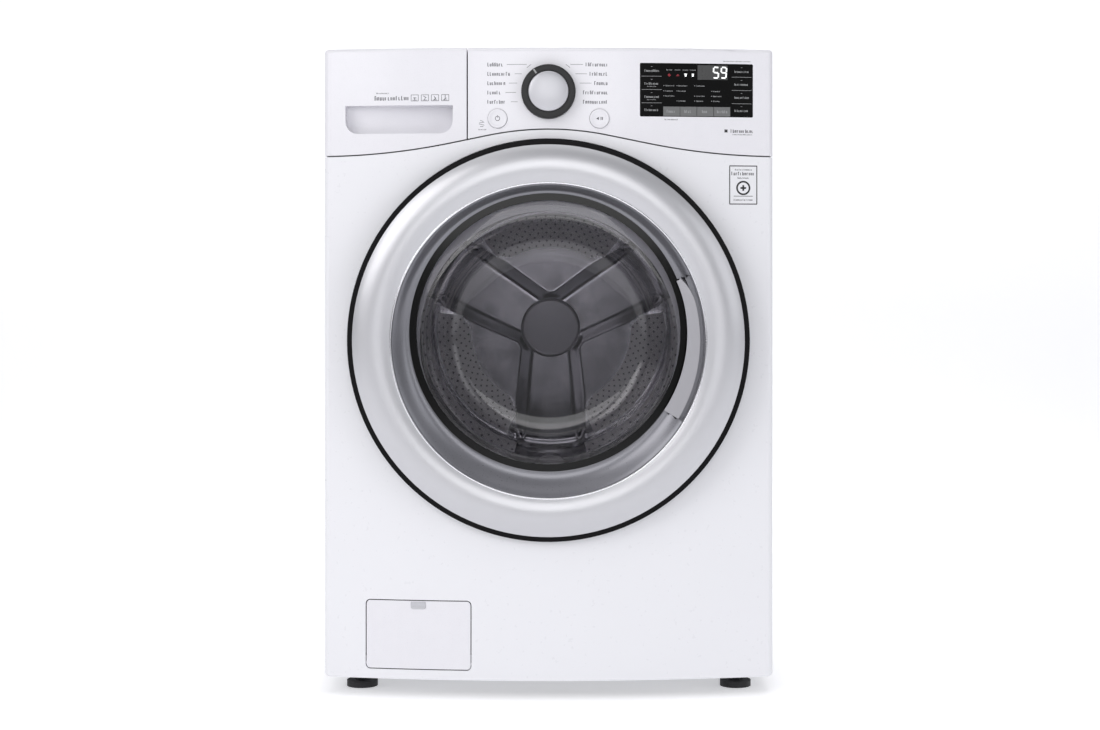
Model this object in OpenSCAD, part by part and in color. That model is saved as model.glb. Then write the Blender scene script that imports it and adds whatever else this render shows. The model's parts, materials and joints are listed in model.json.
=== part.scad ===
// Front load washing machine, built as separate pieces that meet face to face.
// X runs to the right as seen from the front, Y to the rear and Z up from the floor.

/* [Cabinet] */
// Overall width across the front panel
body_w = 686; // [680:1:830]
// Overall height from the floor to the top
body_h = 983; // [975:1:1200]
// Overall depth from the door ring to the water inlets
body_d = 770; // [765:1:930]
// How far the front bows forward at its middle
bow = 35; // [25:1:42]
// Gap between the floor and the base
foot_gap = 25; // [22:1:40]
// Thickness of the sheet steel
sheet = 1.5; // [1:0.1:2]

/* [Door] */
// Height of the door's centre above the floor
door_z = 540; // [520:1:545]
// Outer radius of the dark trim ring
trim_r = 303; // [290:0.5:304]
// Outer radius of the bright ring
ring_r = 294.7; // [280:0.1:297]
// Radius of the bright ring's inner lip
lip_r = 236; // [230:0.5:240]
// Radius of the bezel's round window
window_r = 210; // [200:0.5:214]
// How far the window sits above the door's centre
window_rise = 12; // [0:0.5:13]
// Depth of the glass bowl behind its flange
bowl_depth = 115; // [60:1:125]
// How far the door opens, in degrees
door_open = 110; // [60:1:110]

/* [Controls] */
// Height of the programme knob's centre
knob_drop = 68; // [60:1:72]
// Radius of the knob's dark skirt
knob_r = 41; // [30:0.5:44]
// Radius of the knob's bright cap
cap_r = 30.3; // [24:0.1:34]
// Radius of the two round buttons
button_r = 14.8; // [10:0.1:18]
// How far each button is from the middle
button_x = 77; // [65:1:90]
// How far the buttons' centres are below the top
button_drop = 108; // [100:1:112]
// Width of the display window
display_w = 173.3; // [140:0.1:180]
// Height of the display window
display_h = 81.2; // [60:0.1:84]
// Middle of the display window from the middle of the machine
display_x = 225; // [200:1:230]

/* [Drawer] */
// Where the drawer front ends and the control panel begins
divider_x = -123; // [-140:1:-110]
// Travel of the detergent drawer
drawer_travel = 250; // [150:1:255]
// Width of the handle recess
grip_w = 165; // [120:1:175]
// Height of the handle recess
grip_h = 43; // [30:1:46]

/* [Drum] */
// Inner radius of the drum
drum_r = 276; // [250:1:277]
// Front end of the drum, from the seat of the door
drum_set_back = 108; // [104:1:120]
// Length of the drum from front to back
drum_len = 448; // [380:1:450]
// Height of the lifters inside the drum
lifter_h = 50; // [30:1:60]

/* [Filter access] */
// Width of the filter cover
flap_w = 159; // [120:1:170]
// Height of the filter cover
flap_h = 103; // [90:1:110]
// Middle of the filter cover from the middle of the machine
flap_x = -197.5; // [-205:0.5:-190]
// Height of the middle of the filter cover
flap_z = 92.5; // [90:0.5:98]

/* [Fits] */
// Radial clearance of a pin or shaft that turns in its hole
pin_fit = 0.05; // [0.02:0.01:0.1]
// Gap between faces that move past each other
move_gap = 0.5; // [0.3:0.1:1]
// Width of the visible seams
seam_gap = 2; // [1:0.5:3]

/* [Hidden] */
$fn = 96;
bow_fn = 1440; // steps of the very wide front curve
big = 2000; // longer than the machine, for cutting tools

half_w = body_w / 2;
front_y = -body_d / 2;
rear_y = body_d / 2;
ring_proud = 30; // the bright ring stands this far in front of the panel's crown
crown_y = front_y + ring_proud;
bow_r = (half_w * half_w + bow * bow) / (2 * bow);
edge_r = 10; // round vertical edges of the front
top_r = 7; // round top edge of the front
corner_r = 8; // round corners seen from the front
corner_x = half_w - edge_r;
corner_y = crown_y + bow_r - sqrt(pow(bow_r - edge_r, 2) - corner_x * corner_x);
joint_y = crown_y + bow + 17; // plane where the front pieces meet the cabinet

hinge_y = crown_y + 1; // plane of the door hinge pin, where door depths start
hinge_r = 20; // round rear edge of the door, about the hinge pin
hinge_x = -(trim_r - hinge_r);
seat_y = crown_y + bow - 3; // flat ring in the front panel behind the door
pocket_r = trim_r + seam_gap;
mouth_r = 222; // opening in the front panel for the laundry

shell_w = half_w - 2; // outer half width of the cabinet sides
shell_back = rear_y - 30; // outer face of the rear wall
shell_top = body_h - 26;
floor_z = foot_gap + 3; // inside floor of the base
rim_z = floor_z + 26; // top of the base's rim
fascia_t = 3; // thickness of the plastic front pieces

knob_z = body_h - knob_drop;
button_z = body_h - button_drop;
display_z = body_h - 64;
seam_peak = body_h - 124;
seam_arc = 453; // radius of the arch over the door
seam_foot = 1000; // radius of the curve that eases the arch to the sides
seam_lean = 11.3; // steepest slope of the seam, in degrees
arch_end = seam_arc * sin(seam_lean);
foot_start = half_w - seam_foot * sin(seam_lean);
foot_side = seam_peak - seam_arc * (1 - cos(seam_lean))
    - (foot_start - arch_end) * tan(seam_lean) - seam_foot * (1 - cos(seam_lean));

axis_z = door_z; // the drum turns about the door's centre line
drum_front = seat_y + drum_set_back;
drum_back_y = drum_front + drum_len;
drum_wall = 2;
tub_r = drum_r + 21; // inner radius of the tub
tub_wall = 5;
tub_out = tub_r + tub_wall;
tub_front_y = drum_front - 17; // outer face of the tub's front
tub_rear_y = drum_back_y + 42; // outer face of the tub's rear
tub_joint_y = (tub_front_y + tub_rear_y) / 2;
neck_y = tub_front_y - 26;
shaft_r = 15;
bearing_r = 31;
boss_y = tub_rear_y + 40;

board_y = crown_y + 33; // front face of the control board
drawer_x0 = -(half_w - 25);
drawer_x1 = divider_x - 17;
tray_z = body_h - 115;
tray_len = 280;
tray_h = 70;
housing_back = joint_y + tray_len + 35;
grip_x = (divider_x - half_w) / 2 + 5.5;
grip_z = body_h - 108.5;

pump_y = seat_y + 25; // front face of the drain pump
foot_x = half_w - 53;
foot_y0 = joint_y + 38;
foot_y1 = shell_back - 40;
damper_x = 150;
damper_y0 = tub_joint_y - 100;
damper_y1 = tub_joint_y + 130;
spring_x = shell_w - 36;
spring_y0 = tub_joint_y - 130;
spring_y1 = tub_joint_y + 150;
spring_top = door_z + 300;
spring_foot = door_z + 160;
sump_y = pump_y + 93;
valve_xs = [-half_w + 93, -half_w + 158];
valve_z = body_h - 88;
port_x = -200; // where the detergent hose enters the tub
port_y = tub_joint_y - 60;

// ---------- helpers ----------

// A child drawn in X and Z, at the plane y and t thick towards the front.
module plate(y, t) translate([0, y, 0]) rotate([90, 0, 0]) linear_extrude(t) children();

// A child that stands on the plane at depth d in front of the hinge plane, about the door's centre.
module at_door(d = 0) translate([0, hinge_y, door_z]) rotate([90, 0, 0])
    translate([0, 0, d]) children();

// A cylinder along Y from y0 to y1.
module rod_y(x, z, r, y0, y1) translate([x, y1, z]) rotate([90, 0, 0]) cylinder(r = r, h = y1 - y0);

// A round tube along Y.
module tube_y(x, z, r, hole, y0, y1) difference() {
    rod_y(x, z, r, y0, y1);
    rod_y(x, z, hole, y0 - 1, y1 + 1);
}

// A box given by its lowest corner and its highest corner.
module block(low, high) translate(low) cube(high - low);

// A rectangle with round corners.
module round_rect(w, h, r) {
    square([w - 2 * r, h], center = true);
    square([w, h - 2 * r], center = true);
    for (sx = [-1, 1], sz = [-1, 1])
        translate([sx * (w / 2 - r), sz * (h / 2 - r)]) circle(r);
}

// Height of the seam between the control panel and the front panel.
function seam_z(x) = let (a = abs(x))
    a < arch_end ? seam_peak - seam_arc + sqrt(seam_arc * seam_arc - a * a)
    : a < foot_start ? seam_peak - seam_arc * (1 - cos(seam_lean)) - (a - arch_end) * tan(seam_lean)
    : foot_side + seam_foot - sqrt(max(0, pow(seam_foot, 2) - pow(half_w - a, 2)));

seam_xs = [for (i = [-24:24]) i * (half_w + 5) / 24];
module below_seam() polygon(concat([[half_w + 5, 0], [-half_w - 5, 0]],
    [for (x = seam_xs) [x, seam_z(x) - seam_gap / 2]]));
module above_seam() polygon(concat([[half_w + 5, body_h], [-half_w - 5, body_h]],
    [for (x = seam_xs) [x, seam_z(x) + seam_gap / 2]]));
module front_outline() translate([0, (body_h + foot_gap) / 2])
    round_rect(body_w, body_h - foot_gap, corner_r);

// Plan of the bowed front with round corners, drawn in X and Y.
module front_plan(inset, back) intersection() {
    union() {
        intersection() {
            translate([0, crown_y + bow_r]) circle(bow_r - inset, $fn = bow_fn);
            translate([-corner_x, crown_y - 1]) square([2 * corner_x, back - crown_y + 1]);
        }
        for (s = [-1, 1]) translate([s * corner_x, corner_y]) circle(edge_r - inset);
        translate([inset - half_w, corner_y]) square([2 * (half_w - inset), back - corner_y]);
    }
    translate([-half_w - 1, crown_y - 1]) square([body_w + 2, back - crown_y + 1]);
}

// The bowed front as a solid, up to the plane back, with a round top edge.
module front_solid(inset, back) intersection() {
    linear_extrude(body_h - inset) front_plan(inset, back);
    translate([0, crown_y + bow_r, 0]) rotate([0, 0, -105])
        rotate_extrude(angle = 30, $fn = bow_fn) {
            translate([bow_r - 120, 0]) square([120 - inset, body_h - top_r]);
            translate([bow_r - 120, 0]) square([120 - top_r, body_h - inset]);
            translate([bow_r - top_r, body_h - top_r]) circle(top_r - inset, $fn = 48);
        }
}

// A slice of the bowed skin between two depths, for the windows and covers that lie in it.
module bowed_slice(inset, t) difference() {
    translate([0, crown_y + bow_r, 0]) cylinder(r = bow_r - inset, h = body_h, $fn = bow_fn);
    translate([0, crown_y + bow_r, -1])
        cylinder(r = bow_r - inset - t, h = body_h + 2, $fn = bow_fn);
    block([-half_w - 9, crown_y + bow * 2, -1], [half_w + 9, crown_y + 3 * bow_r, body_h + 1]);
}

module slab(x0, x1) block([x0, -big, -1], [x1, big, body_h + 1]);

module flap_shape(grow = 0)
    translate([flap_x, flap_z]) round_rect(flap_w + 2 * grow, flap_h + 2 * grow, 6 + grow);

// The filter cover leans with the bow, so it is hinged about a line along its own chord.
flap_x0 = flap_x - flap_w / 2;
flap_x1 = flap_x + flap_w / 2;
function bow_y(x, inset = 0) = crown_y + bow_r - sqrt(pow(bow_r - inset, 2) - x * x);
flap_turn = atan2(bow_y(flap_x1) - bow_y(flap_x0), flap_w);
flap_pin_z = flap_z - flap_h / 2 + 8;
module at_flap_pin() translate([flap_x, (bow_y(flap_x0) + bow_y(flap_x1)) / 2 + 4, flap_pin_z])
    rotate([0, 0, flap_turn]) children();

// ---------- cabinet ----------

module base_frame() color("#8a8c90") difference() {
    union() {
        difference() {
            block([sheet - shell_w, joint_y, foot_gap], [shell_w - sheet, shell_back - 10, rim_z]);
            block([sheet + 3 - shell_w, joint_y + 3, floor_z],
                [shell_w - sheet - 3, shell_back - 13, rim_z + 1]);
        }
        for (x = [-foot_x, foot_x], y = [foot_y0, foot_y1])
            translate([x, y, floor_z]) cylinder(r = 16, h = 10);
    }
    for (x = [-foot_x, foot_x], y = [foot_y0, foot_y1])
        translate([x, y, 0]) cylinder(r = 6, h = 100);
}

// Two side sheets and a rear sheet, welded along the rear corners.
module cabinet_shell() color("#e9e9ee") difference() {
    union() {
        translate([0, 0, floor_z]) linear_extrude(shell_top - floor_z) difference() {
            translate([0, (joint_y + shell_back) / 2])
                round_rect(2 * shell_w, shell_back - joint_y, 8);
            translate([0, (joint_y + shell_back) / 2])
                round_rect(2 * (shell_w - sheet), shell_back - joint_y - 2 * sheet, 8 - sheet);
            translate([-shell_w, joint_y - 1]) square([2 * shell_w, 12]);
        }
        for (s = [-1, 1]) {
            translate([s * (shell_w - sheet / 2), joint_y, floor_z]) linear_extrude(seam_low - floor_z)
                translate([-sheet / 2, 0]) square([sheet, 12]);
            translate([s * (shell_w - sheet / 2), joint_y + move_gap, seam_low])
                linear_extrude(shell_top - seam_low) translate([-sheet / 2, 0])
                square([sheet, 12 - move_gap]);
            translate([s * (shell_w - 8), joint_y + sheet / 2, (floor_z + 40 + seam_low) / 2])
                cube([16, sheet, seam_low - floor_z - 40], center = true);
        }
    }
    block([-250, shell_back - 9, 240], [250, shell_back + 1, door_z + 260]);
    for (s = [-1, 1]) translate([s * (shell_w - 10), shell_back, body_h / 2])
        cube([weld_gap, 8, body_h], center = true);
    for (x = valve_xs) rod_y(x, valve_z, 16, shell_back - 9, shell_back + 1);
    rod_y(drain_x, drain_z, 11, shell_back - 9, shell_back + 1);
    rod_y(gland_x, gland_z, 10, shell_back - 9, shell_back + 1);
}
seam_low = foot_side - 12;
weld_gap = 0.05;
drain_x = -shell_w + 23;
drain_z = body_h - 150;
gland_x = shell_w - 80;
gland_z = body_h - 100;

module front_panel() color("#ececf1") {
    difference() {
        intersection() {
            difference() {
                front_solid(0, joint_y);
                front_solid(sheet, joint_y + 1);
            }
            plate(big / 2, big) intersection() { front_outline(); below_seam(); }
        }
        rod_y(0, door_z, pocket_r, -big, big);
        plate(0, big / 2) flap_shape(1.5);
    }
    intersection() {
        front_solid(0, joint_y);
        difference() {
            union() {
                tube_y(0, door_z, pocket_r + sheet, pocket_r, front_y, seat_y);
                tube_y(0, door_z, pocket_r + sheet, mouth_r, seat_y, seat_y + sheet);
            }
            for (s = [-1, 1]) translate([hinge_x + 10, seat_y, door_z + s * 50])
                cube([36, 20, 20], center = true);
            block([hook_x - 7, seat_y - 9, door_z - 16], [hook_x + 20, seat_y + 9, door_z + 16]);
        }
    }
    for (s = [-1, 1]) translate([s * (half_w - 9), joint_y - sheet / 2, (floor_z + 40 + seam_low) / 2])
        cube([17, sheet, seam_low - floor_z - 40], center = true);
    flap_ears();
}
hook_x = 262;

// Two ears behind the skin that hold the filter cover's pins.
module flap_ears() difference() {
    intersection() {
        at_flap_pin() for (s = [-1, 1]) translate([s * (flap_w / 2 + 5), 2, 0])
            cube([5, 12, 14], center = true);
        front_solid(0.5, joint_y);
    }
    at_flap_pin() rotate([0, 90, 0]) cylinder(r = 2 + pin_fit, h = flap_w + 40, center = true);
}

module top_panel() color("#f0f0f5") difference() {
    translate([0, (joint_y + move_gap + shell_back) / 2, shell_top])
        linear_extrude(body_h - shell_top)
        round_rect(2 * shell_w, shell_back - joint_y - move_gap, corner_r);
    translate([0, (joint_y + move_gap + shell_back) / 2, shell_top - 1])
        linear_extrude(body_h - shell_top - 2)
        round_rect(2 * shell_w - 6, shell_back - joint_y - move_gap - 6, corner_r - 3);
}

module control_fascia() color("#f6f5fa") difference() {
    intersection() {
        difference() {
            front_solid(0, joint_y);
            intersection() {
                front_solid(fascia_t, joint_y + 1);
                slab(divider_x + seam_gap / 2 + fascia_t, half_w);
            }
        }
        slab(divider_x + seam_gap / 2, half_w + 1);
        plate(big / 2, big) intersection() { front_outline(); above_seam(); }
    }
    rod_y(0, knob_z, 7, -big, 0);
    for (s = [-1, 1]) rod_y(s * button_x, button_z, button_r + 0.3, -big, 0);
    plate(0, big / 2) translate([display_x, display_z]) round_rect(display_w, display_h, 2);
}

module rear_cover() color("#c9cacd") difference() {
    union() {
        block([-265, shell_back, 225], [265, shell_back + sheet, door_z + 275]);
        tube_y(0, door_z, 205, 190, shell_back + sheet, shell_back + 5);
        for (z = [255, door_z + 245])
            block([-230, shell_back + sheet, z - 5], [230, shell_back + 4, z + 5]);
    }
    for (p = transit_places) rod_y(p[0], p[1], 11, shell_back - 1, shell_back + 9);
}
transit_places = [for (x = [-150, 150], z = [door_z - 235, door_z + 200]) [x, z]];

// The carrier behind the controls, the rear brace and the two rails that hold the springs.
module frame_braces() color("#a9abaf") {
    block([sheet - shell_w, joint_y, seam_low], [shell_w - sheet, joint_y + sheet, seam_low + 26]);
    block([divider_x + 3, joint_y, seam_low + 26],
        [shell_w - sheet, joint_y + sheet, shell_top - 4]);
    block([8 - shell_w, shell_back - 30, shell_top - 20], [shell_w - 8, shell_back - sheet, shell_top]);
    for (s = [-1, 1]) translate([s * (shell_w - sheet - 25), tub_joint_y, spring_top + 8])
        cube([50, spring_y1 - spring_y0 + 60, 16], center = true);
}

module levelling_feet() color("#3a3b3e") for (x = [-foot_x, foot_x], y = [foot_y0, foot_y1])
    translate([x, y, 0]) {
        cylinder(r = 24, h = 9);
        translate([0, 0, 9]) cylinder(r = 11, h = 6, $fn = 6);
        translate([0, 0, 15]) cylinder(r = 6, h = 36);
    }

module foot_locknuts() color("#b9babd") for (x = [-foot_x, foot_x], y = [foot_y0, foot_y1])
    translate([x, y, foot_gap - 6]) difference() {
        cylinder(r = 11, h = 6, $fn = 6);
        translate([0, 0, -1]) cylinder(r = 6.05, h = 8);
    }

module transit_bolt_caps() color("#d8d8dc") for (p = transit_places) {
    rod_y(p[0], p[1], 11, shell_back - 12, shell_back + sheet);
    rod_y(p[0], p[1], 17, shell_back + sheet, shell_back + 4);
}

module power_cord_gland() color("#2b2b2d") difference() {
    union() {
        rod_y(gland_x, gland_z, 10, shell_back - 6, shell_back + 14);
        rod_y(gland_x, gland_z, 14, shell_back, shell_back + 4);
    }
    rod_y(gland_x, gland_z, 4, shell_back - 9, shell_back + 19);
}

// ---------- controls ----------

module display_window() color("#121212") intersection() {
    bowed_slice(0, fascia_t);
    plate(0, big / 2) translate([display_x, display_z]) round_rect(display_w, display_h, 2);
}

module control_board() color("#2f5d3a") {
    block([-98, board_y, body_h - 116], [display_x + 70, board_y + 2, body_h - 22]);
    for (s = [-1, 1]) rod_y(s * button_x, button_z, 6, board_y - 1, board_y);
    for (x = [-90, 55, display_x + 62])
        rod_y(x, body_h - 40, 4, board_y + 2, joint_y);
}

module lcd_module() color("#454545")
    block([display_x - 60, board_y - 5, display_z - 34], [display_x + 60, board_y, display_z + 34]);

module knob_encoder() color("#56585b") difference() {
    translate([0, board_y - 8, knob_z]) cube([18, 16, 18], center = true);
    rod_y(0, knob_z, 3 + pin_fit, board_y - 30, board_y - 2);
}

module main_control_unit() color("#3c3f44")
    block([half_w - 150, shell_back - 240, floor_z], [half_w - 20, shell_back - 65, floor_z + 82]);

// ---------- water ----------

module drawer_housing() color("#d4d5d8") difference() {
    block([drawer_x0 - 8, joint_y + 7, tray_z - 10], [drawer_x1 + 8, housing_back, tray_z + 82]);
    block([drawer_x0 - 6, joint_y + 6, tray_z - 8], [drawer_x1 + 6, housing_back - 2, tray_z + 80]);
    translate([port_x, port_y, tray_z - 20]) cylinder(r = 12, h = 15);
}

module inlet_valves() color("#2f6fb0") for (x = valve_xs) {
    difference() {
        union() {
            rod_y(x, valve_z, 18, shell_back - 8, shell_back - sheet);
            rod_y(x, valve_z, 13.2, shell_back - sheet, rear_y);
        }
        rod_y(x, valve_z, 9, shell_back - 5, rear_y + 1);
    }
    block([x - 18, shell_back - 50, valve_z - 18], [x + 18, shell_back - 8, valve_z + 18]);
}

module inlet_pipes() color("#b8bac0") for (x = valve_xs)
    tube_y(x, valve_z, 8, 6, housing_back, shell_back - 50);

// Filter housing, pump chamber and motor in one unit.
module drain_pump() color("#5a5d62") difference() {
    union() {
        rod_y(flap_x, flap_z, 33, pump_y, pump_y + 112);
        rod_y(flap_x, flap_z, 37, pump_y + 112, pump_y + 140);
        rod_y(flap_x, flap_z, 30, pump_y + 140, pump_y + 205);
        translate([flap_x, sump_y, flap_z]) cylinder(r = 16, h = 40);
        block([flap_x - 55, pump_y + 122, flap_z - 10], [flap_x, pump_y + 134, flap_z + 10]);
        for (y = [20, 125]) block([flap_x - 22, pump_y + y, floor_z], [flap_x + 22, pump_y + y + 12, flap_z]);
    }
    rod_y(flap_x, flap_z, 28 + pin_fit, pump_y - 1, pump_y + 108);
    rod_y(flap_x, flap_z, 30, pump_y + 116, pump_y + 136);
    rod_y(flap_x, flap_z, 14, pump_y + 107, pump_y + 117);
    rod_y(flap_x, flap_z, 3 + pin_fit, pump_y + 130, pump_y + 170);
    translate([flap_x, sump_y, flap_z]) cylinder(r = 13, h = 50);
    rotate([0, -90, 0]) translate([flap_z, pump_y + 128, -flap_x]) cylinder(r = 4, h = 60);
}

module pump_impeller() color("#24262a") {
    rod_y(flap_x, flap_z, 3, pump_y + 122, pump_y + 165);
    rod_y(flap_x, flap_z, 8, pump_y + 121, pump_y + 132);
    for (a = [0:60:300]) translate([flap_x, pump_y + 132, flap_z]) rotate([90, a, 0])
        translate([6, -1, 0]) cube([18, 2, 9]);
}

module drain_filter() color("#d9dade") {
    rod_y(flap_x, flap_z, 36, pump_y - 9, pump_y - move_gap);
    block([flap_x - 26, pump_y - 20, flap_z - 5], [flap_x + 26, pump_y - 9, flap_z + 5]);
    difference() {
        rod_y(flap_x, flap_z, 28, pump_y - move_gap, pump_y + 100);
        rod_y(flap_x, flap_z, 24, pump_y + 8, pump_y + 101);
        block([flap_x - 17, pump_y + 60, flap_z], [flap_x + 17, pump_y + 108, flap_z + 30]);
    }
}

// Rigid pipe from the pump to the outlet on the rear wall.
module drain_pipe() color("#9b9da2") {
    rise_y = shell_back - 30;
    run_x = drain_x;
    p0 = [flap_x - 55, pump_y + 128, flap_z];
    difference() {
        union() {
            translate(p0) rotate([0, -90, 0]) cylinder(r = 10, h = p0[0] - run_x);
            translate([run_x, p0[1], p0[2]]) sphere(10);
            rod_y(run_x, flap_z, 10, p0[1], rise_y);
            translate([run_x, rise_y, p0[2]]) sphere(10);
            translate([run_x, rise_y, p0[2]]) cylinder(r = 10, h = drain_z - p0[2]);
            translate([run_x, rise_y, drain_z]) sphere(10);
            rod_y(run_x, drain_z, 10, rise_y, shell_back);
            rod_y(run_x, drain_z, 11, shell_back - sheet, shell_back + 22);
            rod_y(run_x, drain_z, 15, shell_back, shell_back + 3);
        }
        rod_y(run_x, drain_z, 8, rise_y, shell_back + 30);
    }
}

module sump_hose() color("#2a2a2c") translate([flap_x, sump_y, flap_z + 40])
    bellows(16, 13, sump_top - flap_z - 40, 7);
sump_top = door_z - sqrt(tub_out * tub_out - flap_x * flap_x) - 18;

module dispenser_hose() color("#2a2a2c") translate([port_x, port_y, port_top])
    bellows(14, 11, tray_z - 10 - port_top, 5);
port_top = door_z + sqrt(tub_out * tub_out - port_x * port_x) + 14;

// A soft tube with folds.
module bellows(r, hole, h, folds) difference() {
    union() {
        cylinder(r = r, h = h);
        for (i = [1:folds]) translate([0, 0, h * (i - 0.5) / folds - 4]) cylinder(r = r + 5, h = 8);
    }
    translate([0, 0, -1]) cylinder(r = hole, h = h + 2);
}

module pressure_switch() color("#4b4d52") {
    translate([shell_w - sheet - 22, shell_back - 120, body_h - 90]) rotate([0, 90, 0])
        cylinder(r = 32, h = 22);
    translate([shell_w - sheet - 34, shell_back - 120, body_h - 90]) rotate([0, 90, 0])
        cylinder(r = 6, h = 12);
}

// ---------- door: depths are measured forward from the hinge plane ----------

arm_z = 50; // height of each hinge arm above and below the middle
arm_t = 12;

module door_notches() for (s = [-1, 1])
    block([hinge_x - 40, hinge_y - 10, door_z + s * arm_z - arm_t / 2 - 2],
        [hinge_x + 36, hinge_y + 30, door_z + s * arm_z + arm_t / 2 + 2]);

module rim_section(r) {
    intersection() {
        translate([trim_r - hinge_r, 0]) circle(r);
        translate([trim_r - hinge_r, -hinge_r]) square([hinge_r, hinge_r]);
    }
    translate([trim_r - hinge_r, 0]) square([r, 15 - hinge_r + r]);
}

module door_trim_ring() color("#1c1b20") difference() {
    at_door() rotate_extrude($fn = 360) {
        difference() {
            rim_section(hinge_r);
            rim_section(hinge_r - 3);
        }
        translate([255, 12]) square([trim_r - hinge_r - 254, 3]);
        translate([trim_r - hinge_r - 2, -hinge_r]) square([2, 6]);
        translate([trim_r - hinge_r - 8, -hinge_r + 3]) square([8, 3]);
    }
    door_notches();
}

crown_r = 262; // where the bright ring stands highest
crown_d = ring_proud + 1;
crown_arc = 64;

module door_ring() color("#cfcfd3") at_door() rotate_extrude($fn = 360) difference() {
    intersection() {
        translate([lip_r, -1]) square([ring_r - lip_r, crown_d + 2]);
        translate([crown_r, crown_d - crown_arc]) circle(crown_arc, $fn = 180);
        translate([lip_r, 0]) square([ring_r - lip_r, crown_d + 1]);
    }
    intersection() {
        translate([lip_r + 3, -1]) square([ring_r - lip_r - 6, crown_d]);
        translate([crown_r, crown_d - crown_arc]) circle(crown_arc - 3, $fn = 180);
    }
    translate([250, -1]) square([60, 16]);
}

// Half plane wedge between two angles, drawn in X and Z about the door's centre.
module wedge(a0, a1, r) polygon([[0, 0], r * [cos(a0), sin(a0)],
    r * [cos((a0 + a1) / 2), sin((a0 + a1) / 2)] * 1.1, r * [cos(a1), sin(a1)]]);
grip_from = -31;
grip_to = 25;
handle_r = 226;

module door_bezel() color("#838287") difference() {
    at_door(5) cylinder(r = lip_r, h = 19, $fn = 360);
    at_door(4) translate([0, window_rise, 0]) cylinder(r = window_r, h = 30, $fn = 360);
    hull() {
        at_door(7) translate([0, window_rise, 0]) cylinder(r = window_r, h = 0.5, $fn = 96);
        at_door(24) translate([0, 1, 0]) cylinder(r = lip_r - 3, h = 0.5, $fn = 96);
    }
    at_door(4) linear_extrude(30) wedge(grip_from, grip_to, 300);
}

module door_handle() color("#b4b4b8") {
    at_door(17) linear_extrude(7) intersection() {
        grip_crescent();
        wedge(grip_from, grip_to, 300);
    }
    for (a = [grip_from, grip_to]) at_door(5) linear_extrude(12) intersection() {
        grip_crescent();
        wedge(a - (a > 0 ? 4 : 0), a + (a > 0 ? 0 : 4), 300);
    }
}
module grip_crescent() difference() {
    circle(handle_r, $fn = 360);
    translate([0, window_rise]) circle(window_r, $fn = 360);
}

bowl_r = 190;
bowl_end = 166;
module door_glass() color("#3c3c42", 0.5) at_door() rotate_extrude($fn = 240) {
    difference() {
        polygon([[0, -bowl_depth], [bowl_end - 12, -bowl_depth], [bowl_end, -bowl_depth + 12],
            [bowl_r, 0], [228, 0], [228, 5], [bowl_r - 6, 5], [0, 5]]);
        polygon([[-1, 4 - bowl_depth], [bowl_end - 14, 4 - bowl_depth],
            [bowl_end - 5, 14 - bowl_depth], [bowl_r - 6, 6], [-1, 6]]);
    }
}

module door_inner_frame() color("#9a9ba0") difference() {
    at_door() rotate_extrude($fn = 360) {
        translate([222, -17]) square([lip_r + 3 - 222, 17]);
        translate([196, -20]) square([trim_r - hinge_r - 3 - 196, 3]);
        translate([trim_r - hinge_r - 16, -17]) square([8, 29]);
        translate([lip_r + 3, -17]) square([trim_r - hinge_r - 16 - lip_r - 3, 3]);
    }
    door_notches();
    block([hinge_x - 14, hinge_y - 16, door_z - 46], [hinge_x + 26, hinge_y + 13, door_z + 46]);
    block([hook_x - 3, hinge_y + 10, door_z - 9], [hook_x + 3, hinge_y + 30, door_z + 9]);
}

module door_hinge_plate() color("#9fa1a5") {
    block([hinge_x - 9, hinge_y - 12, door_z - 42], [hinge_x + 24, hinge_y - 9, door_z + 42]);
    difference() {
        for (s = [-1, 1]) hull() {
            translate([hinge_x, hinge_y, door_z + s * 37]) cylinder(r = 7, h = 8, center = true);
            translate([hinge_x, hinge_y - 8, door_z + s * 37]) cube([14, 2, 8], center = true);
        }
        translate([hinge_x, hinge_y, door_z]) cylinder(r = 3, h = 200, center = true);
    }
    translate([hinge_x, hinge_y, door_z]) cylinder(r = 3, h = 2 * arm_z + arm_t + 2, center = true);
}

module hinge_bracket() color("#9fa1a5") difference() {
    union() {
        block([hinge_x - 14, seat_y + sheet, door_z - 75], [hinge_x + 50, seat_y + sheet + 3, door_z + 75]);
        for (s = [-1, 1]) translate([0, 0, door_z + s * arm_z - arm_t / 2]) linear_extrude(arm_t) {
            translate([hinge_x, hinge_y]) circle(7);
            polygon([[hinge_x - 5, hinge_y + 4], [hinge_x + 5, hinge_y - 4],
                [hinge_x + 26, seat_y + sheet], [hinge_x + 11, seat_y + sheet]]);
        }
    }
    translate([hinge_x, hinge_y, door_z]) cylinder(r = 3 + pin_fit, h = 200, center = true);
}

module door_hook() color("#b8babd") {
    block([hook_x - 3, hinge_y + 10, door_z - 9], [hook_x + 3, hinge_y + 48, door_z + 9]);
    block([hook_x - 3, hinge_y + 42, door_z - 9], [hook_x + 8, hinge_y + 48, door_z + 9]);
}

module door_lock() color("#e3e3e6") difference() {
    block([hook_x - 22, seat_y + sheet, door_z - 40], [hook_x + 36, seat_y + 34, door_z + 40]);
    block([hook_x - 7, seat_y, door_z - 13], [hook_x + 20, seat_y + 26, door_z + 13]);
}

module door_gasket() color("#77787c") translate([0, 0, axis_z]) rotate([90, 0, 0])
    rotate_extrude($fn = 240) {
        fold = -(seat_y + sheet);
        translate([206, fold - 6]) square([22, 6]);
        translate([200, fold - 10]) square([6, 16]);
        translate([223, fold - 34]) square([5, 28]);
        translate([206, fold - 38]) square([22, 4]);
        translate([206, -neck_y]) square([4, fold - 38 + neck_y]);
        translate([206, -neck_y]) square([12, 4]);
    }

// ---------- drawer and control knobs ----------

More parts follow.
